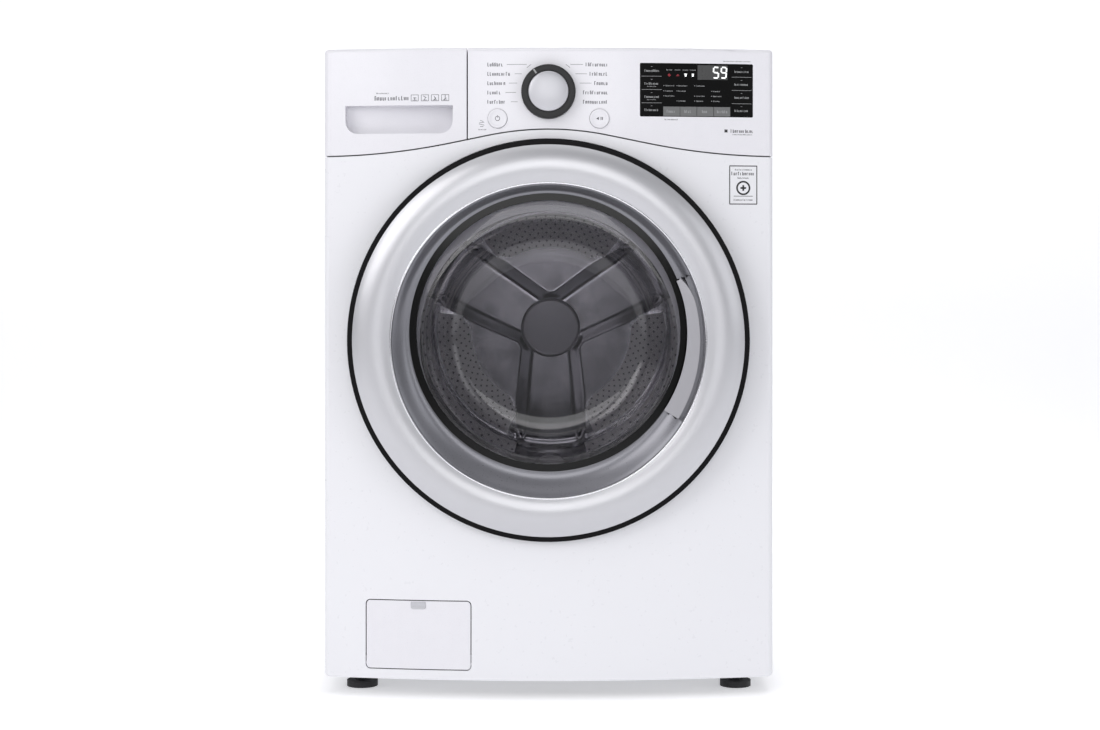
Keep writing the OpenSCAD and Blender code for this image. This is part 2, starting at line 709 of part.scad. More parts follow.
module grip_shape(grow = 0) {
    intersection() {
        translate([0, grip_h / 2]) round_rect(grip_w + 2 * grow, 2 * grip_h + 2 * grow, 20 + grow);
        translate([-grip_w, -grip_h]) square([2 * grip_w, 1.5 * grip_h + grow]);
    }
}

module drawer_front() color("#f6f5fa") {
    difference() {
        intersection() {
            difference() {
                front_solid(0, joint_y);
                intersection() {
                    front_solid(fascia_t, joint_y + 1);
                    slab(-half_w, divider_x - seam_gap / 2 - fascia_t);
                }
            }
            slab(-half_w - 1, divider_x - seam_gap / 2);
            plate(big / 2, big) intersection() { front_outline(); above_seam(); }
        }
        plate(0, big / 2) translate([grip_x, grip_z]) grip_shape();
    }
    intersection() {
        front_solid(0.3, joint_y);
        difference() {
            plate(joint_y, 60) translate([grip_x, grip_z]) grip_shape(2);
            plate(joint_y - 2, 60) translate([grip_x, grip_z]) grip_shape();
        }
    }
}

module drawer_tray() color("#c4c6ca") {
    block([3 - shell_w, joint_y, tray_z - 20], [divider_x - 3, joint_y + 3, shell_top - 3]);
    difference() {
        block([drawer_x0, joint_y + 3, tray_z], [drawer_x1, joint_y + 3 + tray_len, tray_z + tray_h]);
        for (c = tray_cells) block(c[0], c[1]);
    }
}
// Main wash at the left, softener and bleach in the middle and prewash at the right.
cell_x = [drawer_x0 + 2.5, drawer_x0 + 80, drawer_x0 + 82, drawer_x0 + 125, drawer_x0 + 127, drawer_x1 - 2.5];
cell_y0 = joint_y + 6;
cell_y1 = joint_y + tray_len;
cell_mid = joint_y + tray_len / 2;
tray_cells = [
    [[cell_x[0], cell_y0, tray_z + 3], [cell_x[1], cell_y1, tray_z + tray_h + 1]],
    [[cell_x[2], cell_y0, tray_z + 3], [cell_x[3], cell_mid - 1, tray_z + tray_h + 1]],
    [[cell_x[2], cell_mid + 1, tray_z + 3], [cell_x[3], cell_y1, tray_z + tray_h + 1]],
    [[cell_x[4], cell_y0, tray_z + 3], [cell_x[5], cell_y1, tray_z + tray_h + 1]],
];

// Lids with siphon tubes over the softener and bleach compartments.
module siphon_caps() color("#4a7fb5") for (y = [cell_y0 + 70, cell_y1 - 70])
    translate([(cell_x[2] + cell_x[3]) / 2, y, tray_z + 3]) {
        cylinder(r = 9, h = tray_h - 8);
        translate([0, 0, tray_h - 5]) cube([cell_x[3] - cell_x[2], 90, 6], center = true);
    }

module program_knob() color("#3a3a3a") {
    difference() {
        rod_y(0, knob_z, knob_r, crown_y - 16, crown_y - move_gap);
        rod_y(0, knob_z, knob_r - 5, crown_y - 12, crown_y);
        translate([0, crown_y - 16, knob_z]) rotate([0, -34, 0])
            cube([3, 6, 2 * knob_r + 1], center = true);
    }
    rod_y(0, knob_z, cap_r - 0.5, crown_y - 16, crown_y - 11);
    rod_y(0, knob_z, 8, crown_y - 12, crown_y - 4);
    rod_y(0, knob_z, 3, crown_y - 5, board_y - 4);
}

module knob_cap() color("#d1d1d5") intersection() {
    rod_y(0, knob_z, cap_r, crown_y - 22, crown_y - 16);
    translate([0, crown_y + 108, knob_z]) sphere(130, $fn = 180);
}

module round_button(x) {
    y = bow_y(x);
    rod_y(x, button_z, button_r, y - 3, y + 14);
    rod_y(x, button_z, 5, y + 14, board_y - 5);
}
module power_button() color("#f2f1f3") round_button(-button_x);
module start_button() color("#f2f1f3") round_button(button_x);

// ---------- filter cover ----------

module filter_flap() color("#f0f0f4") {
    difference() {
        intersection() {
            bowed_slice(0, 3);
            plate(0, big / 2) flap_shape();
        }
        intersection() {
            bowed_slice(-1, 2);
            plate(0, big / 2) translate([flap_x, flap_z + flap_h / 2 - 7])
                round_rect(23, 10, 2);
        }
    }
    difference() {
        at_flap_pin() for (s = [-1, 1]) {
            translate([s * (flap_w / 2 - 6), 0, 0]) rotate([0, 90, 0]) cylinder(r = 3, h = 8, center = true);
            translate([s * (flap_w / 2), 0, 0]) rotate([0, 90, 0]) cylinder(r = 2, h = 14, center = true);
        }
        intersection() {
            bowed_slice(-20, 23);
            plate(0, big / 2) translate([flap_x, flap_z]) square([flap_w + 2, flap_h + 2], center = true);
        }
    }
}

// ---------- tub and suspension ----------

module tub_front() color("#7d8085") difference() {
    union() {
        tube_y(0, axis_z, tub_out, tub_r, tub_front_y, tub_joint_y);
        tube_y(0, axis_z, tub_out, 212, tub_front_y, tub_front_y + 6);
        tube_y(0, axis_z, 218, 212, neck_y, tub_front_y + 6);
        tube_y(0, axis_z, tub_out + 7, tub_r, tub_joint_y - 8, tub_joint_y);
        spring_lugs(spring_y0);
        damper_lugs(damper_y0);
        tub_port(flap_x, sump_y, sump_top, door_z - 200, 16);
        tub_port(port_x, port_y, door_z + 200, port_top, 14);
    }
    rod_y(0, axis_z, tub_r, tub_front_y + 6, tub_joint_y + 1);
    translate([flap_x, sump_y, sump_top - 1]) cylinder(r = 13, h = 100);
    translate([port_x, port_y, door_z + 150]) cylinder(r = 11, h = 200);
    block([-35, tub_front_y - 1, heater_z - 7], [35, tub_front_y + 7, heater_z + 7]);
}

module tub_rear() color("#7d8085") difference() {
    union() {
        tube_y(0, axis_z, tub_out, tub_r, tub_joint_y, tub_rear_y);
        rod_y(0, axis_z, tub_out, tub_rear_y - 6, tub_rear_y);
        rod_y(0, axis_z, 42, tub_rear_y - 14, boss_y);
        tube_y(0, axis_z, tub_out + 7, tub_r, tub_joint_y, tub_joint_y + 8);
        for (a = [0:30:330]) translate([0, tub_rear_y, axis_z]) rotate([0, a, 0])
            translate([140, -1, -2]) cube([tub_out - 145, 9, 4]);
        spring_lugs(spring_y1);
        damper_lugs(damper_y1);
    }
    rod_y(0, axis_z, bearing_r, tub_rear_y - 10, boss_y + 1);
    rod_y(0, axis_z, 24, tub_rear_y - 20, boss_y);
}

// Vertical stub that joins a hose to the tub's wall.
module tub_port(x, y, z0, z1, r) difference() {
    translate([x, y, z0]) cylinder(r = r, h = z1 - z0);
    rod_y(0, axis_z, tub_r, tub_front_y, tub_joint_y);
}
module spring_lugs(y) for (s = [-1, 1]) difference() {
    block([s > 0 ? 235 : -spring_x - 16, y - 12, spring_foot - 10],
        [s > 0 ? spring_x + 16 : -235, y + 12, spring_foot]);
    rod_y(0, axis_z, tub_r + 1, tub_front_y, tub_rear_y);
}
module damper_lugs(y) for (s = [-1, 1]) difference() {
    translate([s * damper_x, y, (damper_top + door_z - 230) / 2])
        cube([30, 24, door_z - 230 - damper_top], center = true);
    rod_y(0, axis_z, tub_r + 1, tub_front_y, tub_rear_y);
}
damper_top = door_z - sqrt(tub_out * tub_out - damper_x * damper_x) - 20;

module each_damper() for (x = [-damper_x, damper_x], y = [damper_y0, damper_y1])
    translate([x, y, 0]) children();

module damper_cylinders() color("#55585c") each_damper() difference() {
    translate([0, 0, floor_z]) cylinder(r = 14, h = 130);
    translate([0, 0, floor_z + 6]) cylinder(r = 10, h = 114);
    translate([0, 0, floor_z + 100]) cylinder(r = 6 + pin_fit, h = 50);
}

module damper_rods() color("#c0c2c6") each_damper() {
    translate([0, 0, floor_z + 60]) cylinder(r = 9.5, h = 12);
    translate([0, 0, floor_z + 60]) cylinder(r = 6, h = damper_top - floor_z - 60);
}

// A coil spring along Z as one swept wire of square section.
function coil_ring(t, h, turns, r, wire) = [for (b = [0, 90, 180, 270])
    let (a = 360 * turns * t)
    [(r + wire * cos(b)) * cos(a), (r + wire * cos(b)) * sin(a), wire + t * (h - 2 * wire) + wire * sin(b)]];
module coil(h, turns, r, wire, steps) polyhedron(
    points = [for (i = [0:steps]) each coil_ring(i / steps, h, turns, r, wire)],
    faces = concat([[0, 1, 2, 3]], [[for (k = [3, 2, 1, 0]) steps * 4 + k]],
        [for (i = [0:steps - 1], k = [0:3]) let (n = (k + 1) % 4)
            each [[i * 4 + n, i * 4 + k, i * 4 + 4 + k], [i * 4 + n, i * 4 + 4 + k, i * 4 + 4 + n]]]));
module suspension_springs() color("#8f9196")
    for (x = [-spring_x, spring_x], y = [spring_y0, spring_y1]) translate([x, y, spring_foot])
        coil(spring_top - spring_foot, 6, 12, 2, 60);

module counterweights() color("#6f6f70") for (a = [[40, 140], [198, 246], [294, 342]])
    translate([0, tub_front_y, axis_z]) rotate([90, 0, 0]) rotate([0, 0, a[0]])
        rotate_extrude(angle = a[1] - a[0], $fn = 240) translate([238, 0]) square([58, 40]);

module drum_bearings() color("#b5b7ba") for (y = [tub_rear_y - 10, boss_y - 16])
    tube_y(0, axis_z, bearing_r, shaft_r, y, y + 16);

module shaft_seal() color("#232325")
    tube_y(0, axis_z, 24, shaft_r + 0.3, tub_rear_y - 14, tub_rear_y - 10);

module motor_stator() color("#8c5a35") difference() {
    union() {
        tube_y(0, axis_z, 96, 60, tub_rear_y, tub_rear_y + 24);
        for (a = [0:15:345]) translate([0, tub_rear_y + 12, axis_z]) rotate([0, a, 0])
            translate([105, 0, 0]) cube([24, 20, 9], center = true);
    }
    rod_y(0, axis_z, 60, tub_rear_y - 1, tub_rear_y + 30);
}

heater_z = door_z - tub_r + 9.5;
module heater() color("#a7a9ad") {
    block([-35, tub_front_y, heater_z - 7], [35, tub_front_y + 6, heater_z + 7]);
    block([-32, tub_front_y - 14, heater_z - 5], [32, tub_front_y, heater_z + 5]);
    for (x = [-20, 20]) rod_y(x, heater_z, 4, tub_front_y + 6, tub_joint_y);
    translate([-20, tub_joint_y, heater_z]) rotate([0, 90, 0]) cylinder(r = 4, h = 40);
    for (x = [-20, 20]) translate([x, tub_joint_y, heater_z]) sphere(4);
}

// ---------- drum ----------

module drum_shell() color("#b9bbbf") {
    tube_y(0, axis_z, drum_r + drum_wall, drum_r, drum_front + 8, drum_back_y);
    tube_y(0, axis_z, drum_r + drum_wall, 222, drum_front + 6, drum_front + 8);
    translate([0, drum_front + 3, axis_z]) rotate([90, 0, 0])
        rotate_extrude($fn = 240) translate([220, 0]) circle(5, $fn = 48);
}

module drum_back() color("#a9abaf") {
    tube_y(0, axis_z, drum_r, 20, drum_back_y - 4, drum_back_y);
    tube_y(0, axis_z, 48, 20, drum_back_y - 14, drum_back_y - 4);
}

module lifter_shape(t) polygon([[drum_r + t, t - 52], [drum_r + t, 52 - t],
    [drum_r - lifter_h + t, 22 - t], [drum_r - lifter_h + t, t - 22]]);
module drum_lifters() color("#c9cbce") for (a = [30, 150, 270]) intersection() {
    translate([0, drum_back_y - 8, axis_z]) rotate([90, 0, 0]) rotate([0, 0, a]) difference() {
        linear_extrude(drum_len - 22) lifter_shape(0);
        translate([0, 0, 3]) linear_extrude(drum_len - 28) lifter_shape(3);
    }
    rod_y(0, axis_z, drum_r, drum_front, drum_back_y);
}

module drum_spider() color("#85888c") difference() {
    union() {
        rod_y(0, axis_z, 34, drum_back_y, drum_back_y + 24);
        for (a = [30, 150, 270]) translate([0, drum_back_y, axis_z]) rotate([0, -a, 0])
            translate([0, 0, -16]) cube([drum_r - 6, 14, 32]);
    }
    rod_y(0, axis_z, shaft_r, drum_back_y - 1, drum_back_y + 30);
}

// Shaft with the motor's rotor cup on its rear end.
module drum_shaft() color("#c4c6ca") {
    rod_y(0, axis_z, shaft_r, drum_back_y, boss_y + 16);
    tube_y(0, axis_z, 132, shaft_r, boss_y + 4, boss_y + 7);
    tube_y(0, axis_z, 132, 120, tub_rear_y + 4, boss_y + 5);
    rod_y(0, axis_z, 17, boss_y + 7, boss_y + 16);
}

base_frame();
cabinet_shell();
front_panel();
top_panel();
control_fascia();
rear_cover();
frame_braces();
levelling_feet();
foot_locknuts();
transit_bolt_caps();
power_cord_gland();
display_window();
control_board();
lcd_module();
knob_encoder();
main_control_unit();
drawer_housing();
inlet_valves();
inlet_pipes();
drain_pump();
drain_pipe();
door_lock();
hinge_bracket();
pressure_switch();
damper_cylinders();
door_gasket();
suspension_springs();
sump_hose();
dispenser_hose();
door_trim_ring();
door_ring();
door_bezel();
door_handle();
door_glass();
door_inner_frame();
door_hinge_plate();
door_hook();
drawer_tray();
drawer_front();
siphon_caps();
program_knob();
knob_cap();
power_button();
start_button();
filter_flap();
drain_filter();
pump_impeller();
tub_rear();
tub_front();
counterweights();
drum_bearings();
shaft_seal();
motor_stator();
heater();
damper_rods();
drum_shell();
drum_back();
drum_lifters();
drum_spider();
drum_shaft();
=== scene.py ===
"""A front load washing machine: its finishes and detailed pieces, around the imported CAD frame."""
import json
import math

import bmesh
import bpy
from mathutils import Matrix, Vector


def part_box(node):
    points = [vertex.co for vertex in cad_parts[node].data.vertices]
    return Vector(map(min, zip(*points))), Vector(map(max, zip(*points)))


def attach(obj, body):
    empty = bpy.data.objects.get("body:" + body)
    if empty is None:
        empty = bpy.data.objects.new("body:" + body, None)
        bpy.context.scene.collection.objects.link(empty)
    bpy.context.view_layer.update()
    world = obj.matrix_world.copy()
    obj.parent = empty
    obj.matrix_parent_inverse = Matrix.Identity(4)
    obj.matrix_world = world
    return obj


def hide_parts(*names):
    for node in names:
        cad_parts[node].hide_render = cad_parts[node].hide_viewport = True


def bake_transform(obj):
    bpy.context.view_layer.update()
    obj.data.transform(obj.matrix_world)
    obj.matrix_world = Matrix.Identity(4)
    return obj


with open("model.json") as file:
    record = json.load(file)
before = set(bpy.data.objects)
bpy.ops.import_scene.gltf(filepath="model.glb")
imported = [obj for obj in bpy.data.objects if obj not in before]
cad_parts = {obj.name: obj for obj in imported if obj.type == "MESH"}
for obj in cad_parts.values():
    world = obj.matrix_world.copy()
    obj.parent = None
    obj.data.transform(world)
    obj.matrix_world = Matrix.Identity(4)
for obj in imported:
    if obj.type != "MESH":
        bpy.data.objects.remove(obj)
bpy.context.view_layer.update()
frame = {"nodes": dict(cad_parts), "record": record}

bl_info = {
    "name": "Front Load Washer",
    "version": (1, 0, 0),
    "blender": (4, 5, 0),
    "location": "View3D > Sidebar > Washer",
    "description": "Builds the finishes and detailed pieces of a front load washing machine",
    "category": "Object",
}

MM = 0.001
LIFTER_ANGLES = (30, 150, 270)      # the drum's lifters and the arms of its back, from straight right
PANEL_LOW, PANEL_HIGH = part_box("front_panel")
RING_LOW, RING_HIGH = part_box("door_ring")
DRUM_LOW, DRUM_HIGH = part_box("drum_shell")
BACK_LOW, BACK_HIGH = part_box("drum_back")
GLASS_LOW, GLASS_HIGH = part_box("door_glass")
GASKET_LOW, GASKET_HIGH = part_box("door_gasket")
KNOB_LOW, KNOB_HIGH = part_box("program_knob")
CAP_LOW, CAP_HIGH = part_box("knob_cap")
HALF_W = PANEL_HIGH.x
CROWN = PANEL_LOW.y                                  # the front's foremost line
HINGE_Y = GLASS_LOW.y + 5 * MM                       # door depths are counted forward from here
DOOR_Z = (RING_LOW.z + RING_HIGH.z) / 2
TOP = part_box("top_panel")[1].z


# ---------------------------------------------------------------- sizes and colours

def linear(colour):
    """A '#rrggbb' colour as linear RGBA."""
    parts = [int(colour[i:i + 2], 16) / 255 for i in (1, 3, 5)]
    return tuple(c / 12.92 if c <= 0.04045 else ((c + 0.055) / 1.055) ** 2.4 for c in parts) + (1.0,)


def size(name, text, value):
    return bpy.props.FloatProperty(name=name, description=text, default=value,
                                   subtype="DISTANCE", unit="LENGTH")


def hue(name, text, value):
    return bpy.props.FloatVectorProperty(name=name, description=text, default=linear(value),
                                         size=4, min=0, max=1, subtype="COLOR")


class WasherSizes(bpy.types.PropertyGroup):
    bow: size("Bow", "How far the front's middle stands before its sides", 35 * MM)
    window_rise: size("Window rise", "How far the window's middle lies above the door's", 12 * MM)
    window_radius: size("Window radius", "Radius of the opening in the bezel", 210 * MM)
    band_radius: size("Band radius", "Inner radius of the black band on the glass", 199 * MM)
    hole_radius: size("Hole radius", "Radius of a hole in the drum", 2.7 * MM)
    arm_height: size("Arm height", "How far the arms of the drum's back stand proud", 11 * MM)
    print_height: size("Print height", "Height of the small programme marks", 5.6 * MM)


class WasherColours(bpy.types.PropertyGroup):
    enamel: hue("Enamel", "White baked enamel on the steel panels", "#e9e9ed")
    plastic: hue("White plastic", "Moulded white ABS of the fascia and drawer", "#e6e5ea")
    silver: hue("Silver", "Satin silver paint on the door ring", "#c4c4c8")
    bezel: hue("Bezel", "Grey paint inside the door ring", "#7e7e84")
    glass: hue("Glass", "Smoked tint of the door glass", "#edecee")
    ink: hue("Ink", "Grey ink of the programme marks", "#55555a")


# ---------------------------------------------------------------- materials

def add(tree, kind, inputs=None, **settings):
    """Adds one shader node with its settings; its inputs are linked or given values."""
    node = tree.nodes.new(kind)
    for key, value in settings.items():
        setattr(node, key, value)
    for key, value in (inputs or {}).items():
        if isinstance(value, bpy.types.NodeSocket):
            tree.links.new(value, node.inputs[key])
        else:
            node.inputs[key].default_value = value
    return node


def principled(name, **sockets):
    """A new material on one Principled shader, with the Object coordinates its pattern is drawn by."""
    material = bpy.data.materials.new(name)
    material.use_nodes = True
    tree = material.node_tree
    shader = tree.nodes["Principled BSDF"]
    for key, value in sockets.items():
        shader.inputs[key.replace("_", " ")].default_value = value
    return material, tree, shader, add(tree, "ShaderNodeTexCoord").outputs["Object"]


def tone(tree, shader, fac, dark):
    """Lets the base colour wander by `dark` either way with the factor."""
    base = tuple(shader.inputs["Base Color"].default_value)[:3]
    mix = add(tree, "ShaderNodeMix", {"Factor": fac, 6: tuple(c * (1 - dark) for c in base) + (1,),
                                      7: tuple(min(1,
                                              c * (1 + dark)) for c in base) + (1,)}, data_type="RGBA")
    tree.links.new(mix.outputs[2], shader.inputs["Base Color"])


def grained(tree, shader, where, grain, depth, rough, spread, dark, stretch=(1, 1, 1)):
    """Noise of a grain in metres that roughens, bumps and faintly mottles the surface."""
    at = add(tree, "ShaderNodeMapping", {"Vector": where, "Scale": stretch}).outputs["Vector"]
    fine = add(tree, "ShaderNodeTexNoise", {"Vector": at, "Scale": 1 / grain, "Detail": 3.0}).outputs["Fac"]
    wide = add(tree, "ShaderNodeTexNoise", {"Vector": where, "Scale": 1 / (grain * 14), "Detail": 2.0})
    span = add(tree, "ShaderNodeMapRange", {"Value": fine, "From Min": 0.3, "From Max": 0.7,
                                            "To Min": rough - spread, "To Max": rough + spread})
    tree.links.new(span.outputs["Result"], shader.inputs["Roughness"])
    tone(tree, shader, wide.outputs["Fac"], dark)
    bump = add(tree, "ShaderNodeBump", {"Height": fine, "Distance": depth, "Strength": 0.6})
    tree.links.new(bump.outputs["Normal"], shader.inputs["Normal"])
    return fine


def enamel(name, base, rough=0.3):
    """Powder enamel baked on steel: hard gloss with the faint ripple that reflections show."""
    material, tree, shader, where = principled(name, Base_Color=base, IOR=1.5, Coat_Weight=0.25,
                                               Coat_Roughness=0.12)
    grained(tree, shader, where, 7 * MM, 0.03 * MM, rough, 0.03, 0.008)
    return material


def moulded(name, base, rough, grain=1.2, depth=0.02, gloss=0.0, metallic=0.0, ior=1.49):
    """Injection moulded plastic: an even colour with the mould's fine spark grain."""
    material, tree, shader, where = principled(name, Base_Color=base, IOR=ior, Coat_Weight=gloss,
                                               Coat_Roughness=0.1, Metallic=metallic)
    grained(tree, shader, where, grain * MM, depth * MM, rough, 0.04, 0.015)
    return material


def silver_paint(name, base, rough=0.3, flake=0.45):
    """Metallic lacquer on plastic: aluminium flake, drawn coarser than real so that it shows."""
    material, tree, shader, where = principled(name, Base_Color=base, Metallic=0.72, Coat_Weight=0.35,
                                               Coat_Roughness=0.15)
    grained(tree, shader, where, flake * MM * 3, 0.012 * MM, rough, 0.05, 0.012)
    return material


def rolled_steel(name, base, rough=0.27, along=(1, 0.05, 1), grain=1.6, depth=0.02, metallic=1.0):
    """Cold rolled stainless: fine lines along the rolling direction that stretch each highlight."""
    material, tree, shader, where = principled(name, Base_Color=base, Metallic=metallic)
    grained(tree, shader, where, grain * MM, depth * MM, rough, 0.08, 0.04, along)
    return material


def galvanised(name, base):
    """Hot dip zinc: crystal spangle about 9 mm across, each grain its own grey."""
    material, tree, shader, where = principled(name, Base_Color=base, Metallic=0.9)
    cells = add(tree, "ShaderNodeTexVoronoi", {"Vector": where, "Scale": 1 / (9 * MM)}, feature="F1")
    grey = add(tree, "ShaderNodeSeparateColor", {"Color": cells.outputs["Color"]}).outputs["Red"]
    span = add(tree, "ShaderNodeMapRange", {"Value": grey, "To Min": 0.34, "To Max": 0.5})
    tree.links.new(span.outputs["Result"], shader.inputs["Roughness"])
    tone(tree, shader, grey, 0.09)
    return material


def cast_metal(name, base, metallic=0.9, rough=0.5):
    """Die cast aluminium: a dull skin with fine pits."""
    material, tree, shader, where = principled(name, Base_Color=base, Metallic=metallic)
    grained(tree, shader, where, 2.2 * MM, 0.12 * MM, rough, 0.09, 0.07)
    return material


def concrete(name, base):
    """Cast concrete: cement with 4 mm aggregate and open pores."""
    material, tree, shader, where = principled(name, Base_Color=base, Roughness=0.9)
    grained(tree, shader, where, 4 * MM, 0.5 * MM, 0.85, 0.08, 0.12)
    return material


def rubber(name, base, rough=0.62):
    """Moulded EPDM: a dull skin with a slight bloom."""
    material, tree, shader, where = principled(name, Base_Color=base, IOR=1.52, Sheen_Weight=0.08)
    grained(tree, shader, where, 1.5 * MM, 0.04 * MM, rough, 0.07, 0.05)
    return material


def wound_copper(name, base):
    """Enamelled copper wire: turns of 1 mm wire side by side."""
    material, tree, shader, where = principled(name, Base_Color=base, Metallic=0.8)
    wave = add(tree, "ShaderNodeTexWave", {"Vector": where, "Scale": 1 / (6.3 * MM), "Distortion": 0.4},
               wave_type="RINGS", rings_direction="Y")
    span = add(tree, "ShaderNodeMapRange", {"Value": wave.outputs["Fac"], "To Min": 0.3, "To Max": 0.5})
    tree.links.new(span.outputs["Result"], shader.inputs["Roughness"])
    tone(tree, shader, wave.outputs["Fac"], 0.25)
    bump = add(tree, "ShaderNodeBump", {"Height": wave.outputs["Fac"], "Distance": 0.4 * MM})
    tree.links.new(bump.outputs["Normal"], shader.inputs["Normal"])
    return material


def circuit_board(name, base):
    """Glass fibre board under solder mask: green with lighter copper tracks 2.5 mm apart."""
    material, tree, shader, where = principled(name, Base_Color=base, Roughness=0.4, IOR=1.5)
    bricks = add(tree, "ShaderNodeTexBrick", {"Vector": where, "Scale": 60.0, "Mortar Size": 0.03})
    tone(tree, shader, bricks.outputs["Fac"], 0.35)
    return material


def smoked_glass(name, tint):
    """Tempered glass with a smoked tint: clear to look through, a sharp skin of reflection."""
    material = bpy.data.materials.new(name)
    material.use_nodes = True
    tree = material.node_tree
    tree.nodes.remove(tree.nodes["Principled BSDF"])
    clear = add(tree, "ShaderNodeBsdfTransparent", {"Color": tint}).outputs[0]
    where = add(tree, "ShaderNodeTexCoord").outputs["Object"]
    ripple = add(tree, "ShaderNodeTexNoise", {"Vector": where, "Scale": 12.0, "Detail": 1.0}).outputs["Fac"]
    bump = add(tree, "ShaderNodeBump", {"Height": ripple, "Distance": 1.0 * MM, "Strength": 0.25})
    skin = add(tree, "ShaderNodeBsdfGlossy", {"Color": (1, 1, 1, 1), "Roughness": 0.02,
                                              "Normal": bump.outputs["Normal"]}).outputs[0]
    fresnel = add(tree, "ShaderNodeFresnel", {"IOR": 1.45}).outputs[0]
    capped = add(tree, "ShaderNodeMath", {0: fresnel, 1: 0.16}, operation="MINIMUM").outputs[0]
    mix = add(tree, "ShaderNodeMixShader", {0: capped, 1: clear, 2: skin})
    tree.links.new(mix.outputs[0], tree.nodes["Material Output"].inputs["Surface"])
    return material


def ink(name, base, glow=0.0):
    """Screen printed ink: a thin matt film, a little uneven."""
    material, tree, shader, where = principled(name, Base_Color=base, IOR=1.45, Emission_Color=base,
                                               Emission_Strength=glow)
    grained(tree, shader, where, 0.8 * MM, 0.01 * MM, 0.55, 0.05, 0.04)
    return material


def studio_matt(name, base):
    """Seamless paper: plain, pale and matt."""
    material, tree, shader, where = principled(name, Base_Color=base, Emission_Color=base,
            Emission_Strength=0.42)
    grained(tree, shader, where, 30 * MM, 0.02 * MM, 0.8, 0.03, 0.004)
    return material


FINISH = {}


def make_finishes():
    """One finish for each material slot, and those of the added pieces."""
    c = bpy.context.scene.washer_colours
    FINISH.update({
        "white_steel": enamel("white enamel on steel", c.enamel),
        "side_steel": enamel("satin white enamel", linear("#e9e9ed"), 0.38),
        "galvanised": galvanised("galvanised steel", linear("#a9abae")),
        "white_plastic": moulded("white ABS", c.plastic, 0.3, gloss=0.25),
        "grey_plastic": moulded("grey polypropylene", linear("#a2a3a7"), 0.45),
        "dark_plastic": moulded("dark grey ABS", linear("#29292a"), 0.42, 0.8, ior=1.36),
        "display_black": moulded("black acrylic", linear("#060606"), 0.1, gloss=0.0, ior=1.33),
        "silver_plastic": silver_paint("silver painted ABS", c.silver, 0.34),
        "grip_silver": silver_paint("satin grip paint", linear("#a3a2a7"), 0.36),
        "bezel_plastic": silver_paint("grey painted ABS", c.bezel, 0.32),
        # A lower IOR than real ABS, so that the trim ring stays black in a white room.
        "black_plastic": moulded("black ABS", linear("#0a090c"), 0.4, ior=1.22),
        "smoked_glass": smoked_glass("smoked tempered glass", c.glass),
        "stainless": rolled_steel("rolled stainless steel", linear("#c2c2c5")),
        "cast_aluminium": cast_metal("die cast aluminium", linear("#9d9fa2")),
        "steel": rolled_steel("bright steel", linear("#b4b5b8"), 0.32, (1, 1, 1), 1.0),
        "copper_winding": wound_copper("copper winding", linear("#a5592c")),
        "concrete": concrete("cast concrete", linear("#77766f")),
        "grey_rubber": rubber("grey rubber", linear("#8b8c90")),
        "black_rubber": rubber("black rubber", linear("#232325"), 0.7),
        "tub_plastic": moulded("glass filled polypropylene", linear("#76797e"), 0.55, 2.0, 0.05),
        "circuit_board": circuit_board("circuit board", linear("#2c5a38")),
        "blue_plastic": moulded("blue polypropylene", linear("#3a73ae"), 0.4),
        "drum_back": rolled_steel("pressed stainless steel", linear("#8c8c90"), 0.18, (1, 1, 1), 40, 0.001),
        # Painted highlight: the holed lobes are the same stainless as the back, given a near-white colour and
        # no metal so that they stay pale in the dim drum, as if lit.
        "sieve_painted_highlight": rolled_steel("perforated stainless steel", linear("#f0f0f2"), 0.45, (1, 1, 1), 20, 0.001,
                              0.0),
        "lifter": moulded("grey lifter plastic", linear("#6c6c72"), 0.28, gloss=0.3),
        "hub": silver_paint("hub cap paint", linear("#77777c"), 0.36),
        "bright": rolled_steel("polished trim", linear("#dcdce0"), 0.16, (1, 1, 1), 1.0),
        "knob_cap": silver_paint("silver knob paint", linear("#c3c3c8"), 0.42),
        "ink": ink("grey print", c.ink),
        "dark_ink": ink("black print", linear("#2a2a2d")),
        # Painted glow: the pale print is real ink, and its faint emission is painted light, since print gives
        # none.
        "pale_ink_painted_glow": ink("pale print on black", linear("#8d8e8f"), 0.25),
        "glow": ink("lit segments", linear("#f4f6f6"), 0.9),
        "red_glow": ink("lit red symbol", linear("#8d2a33"), 0.35),
        "grey_bar": moulded("grey screen", linear("#6d6e6e"), 0.35),
        "lcd": moulded("dim screen", linear("#454545"), 0.3),
        "paper": studio_matt("studio paper", linear("#f6f6f8")),
    })


def dress(obj, finish):
    obj.data.materials.clear()
    obj.data.materials.append(FINISH[finish])


# ---------------------------------------------------------------- modelling helpers

def start(name, primitive, **words):
    """Adds a primitive with nothing else selected, and names it."""
    if bpy.context.object and bpy.context.object.mode != "OBJECT":
        bpy.ops.object.mode_set(mode="OBJECT")
    bpy.ops.object.select_all(action="DESELECT")
    primitive(**words)
    obj = bpy.context.object
    obj.name = obj.data.name = name
    return obj


def edit():
    bpy.ops.object.mode_set(mode="EDIT")
    bpy.ops.mesh.select_mode(type="VERT")


def blank(name):
    """An empty mesh in edit mode, for the primitives that are added to it."""
    obj = start(name, bpy.ops.mesh.primitive_plane_add, size=1)
    edit()
    bpy.ops.mesh.select_all(action="SELECT")
    bpy.ops.mesh.delete(type="VERT")
    return obj


def pick(obj, test, kind="verts"):
    """In edit mode, selects just the vertices, edges or faces that pass a test."""
    bpy.ops.mesh.select_all(action="DESELECT")
    bpy.ops.mesh.select_mode(type={"verts": "VERT", "edges": "EDGE", "faces": "FACE"}[kind])
    mesh = bmesh.from_edit_mesh(obj.data)
    for part in getattr(mesh, kind):
        if test(part):
            part.select_set(True)
    mesh.select_flush_mode()
    bmesh.update_edit_mesh(obj.data)


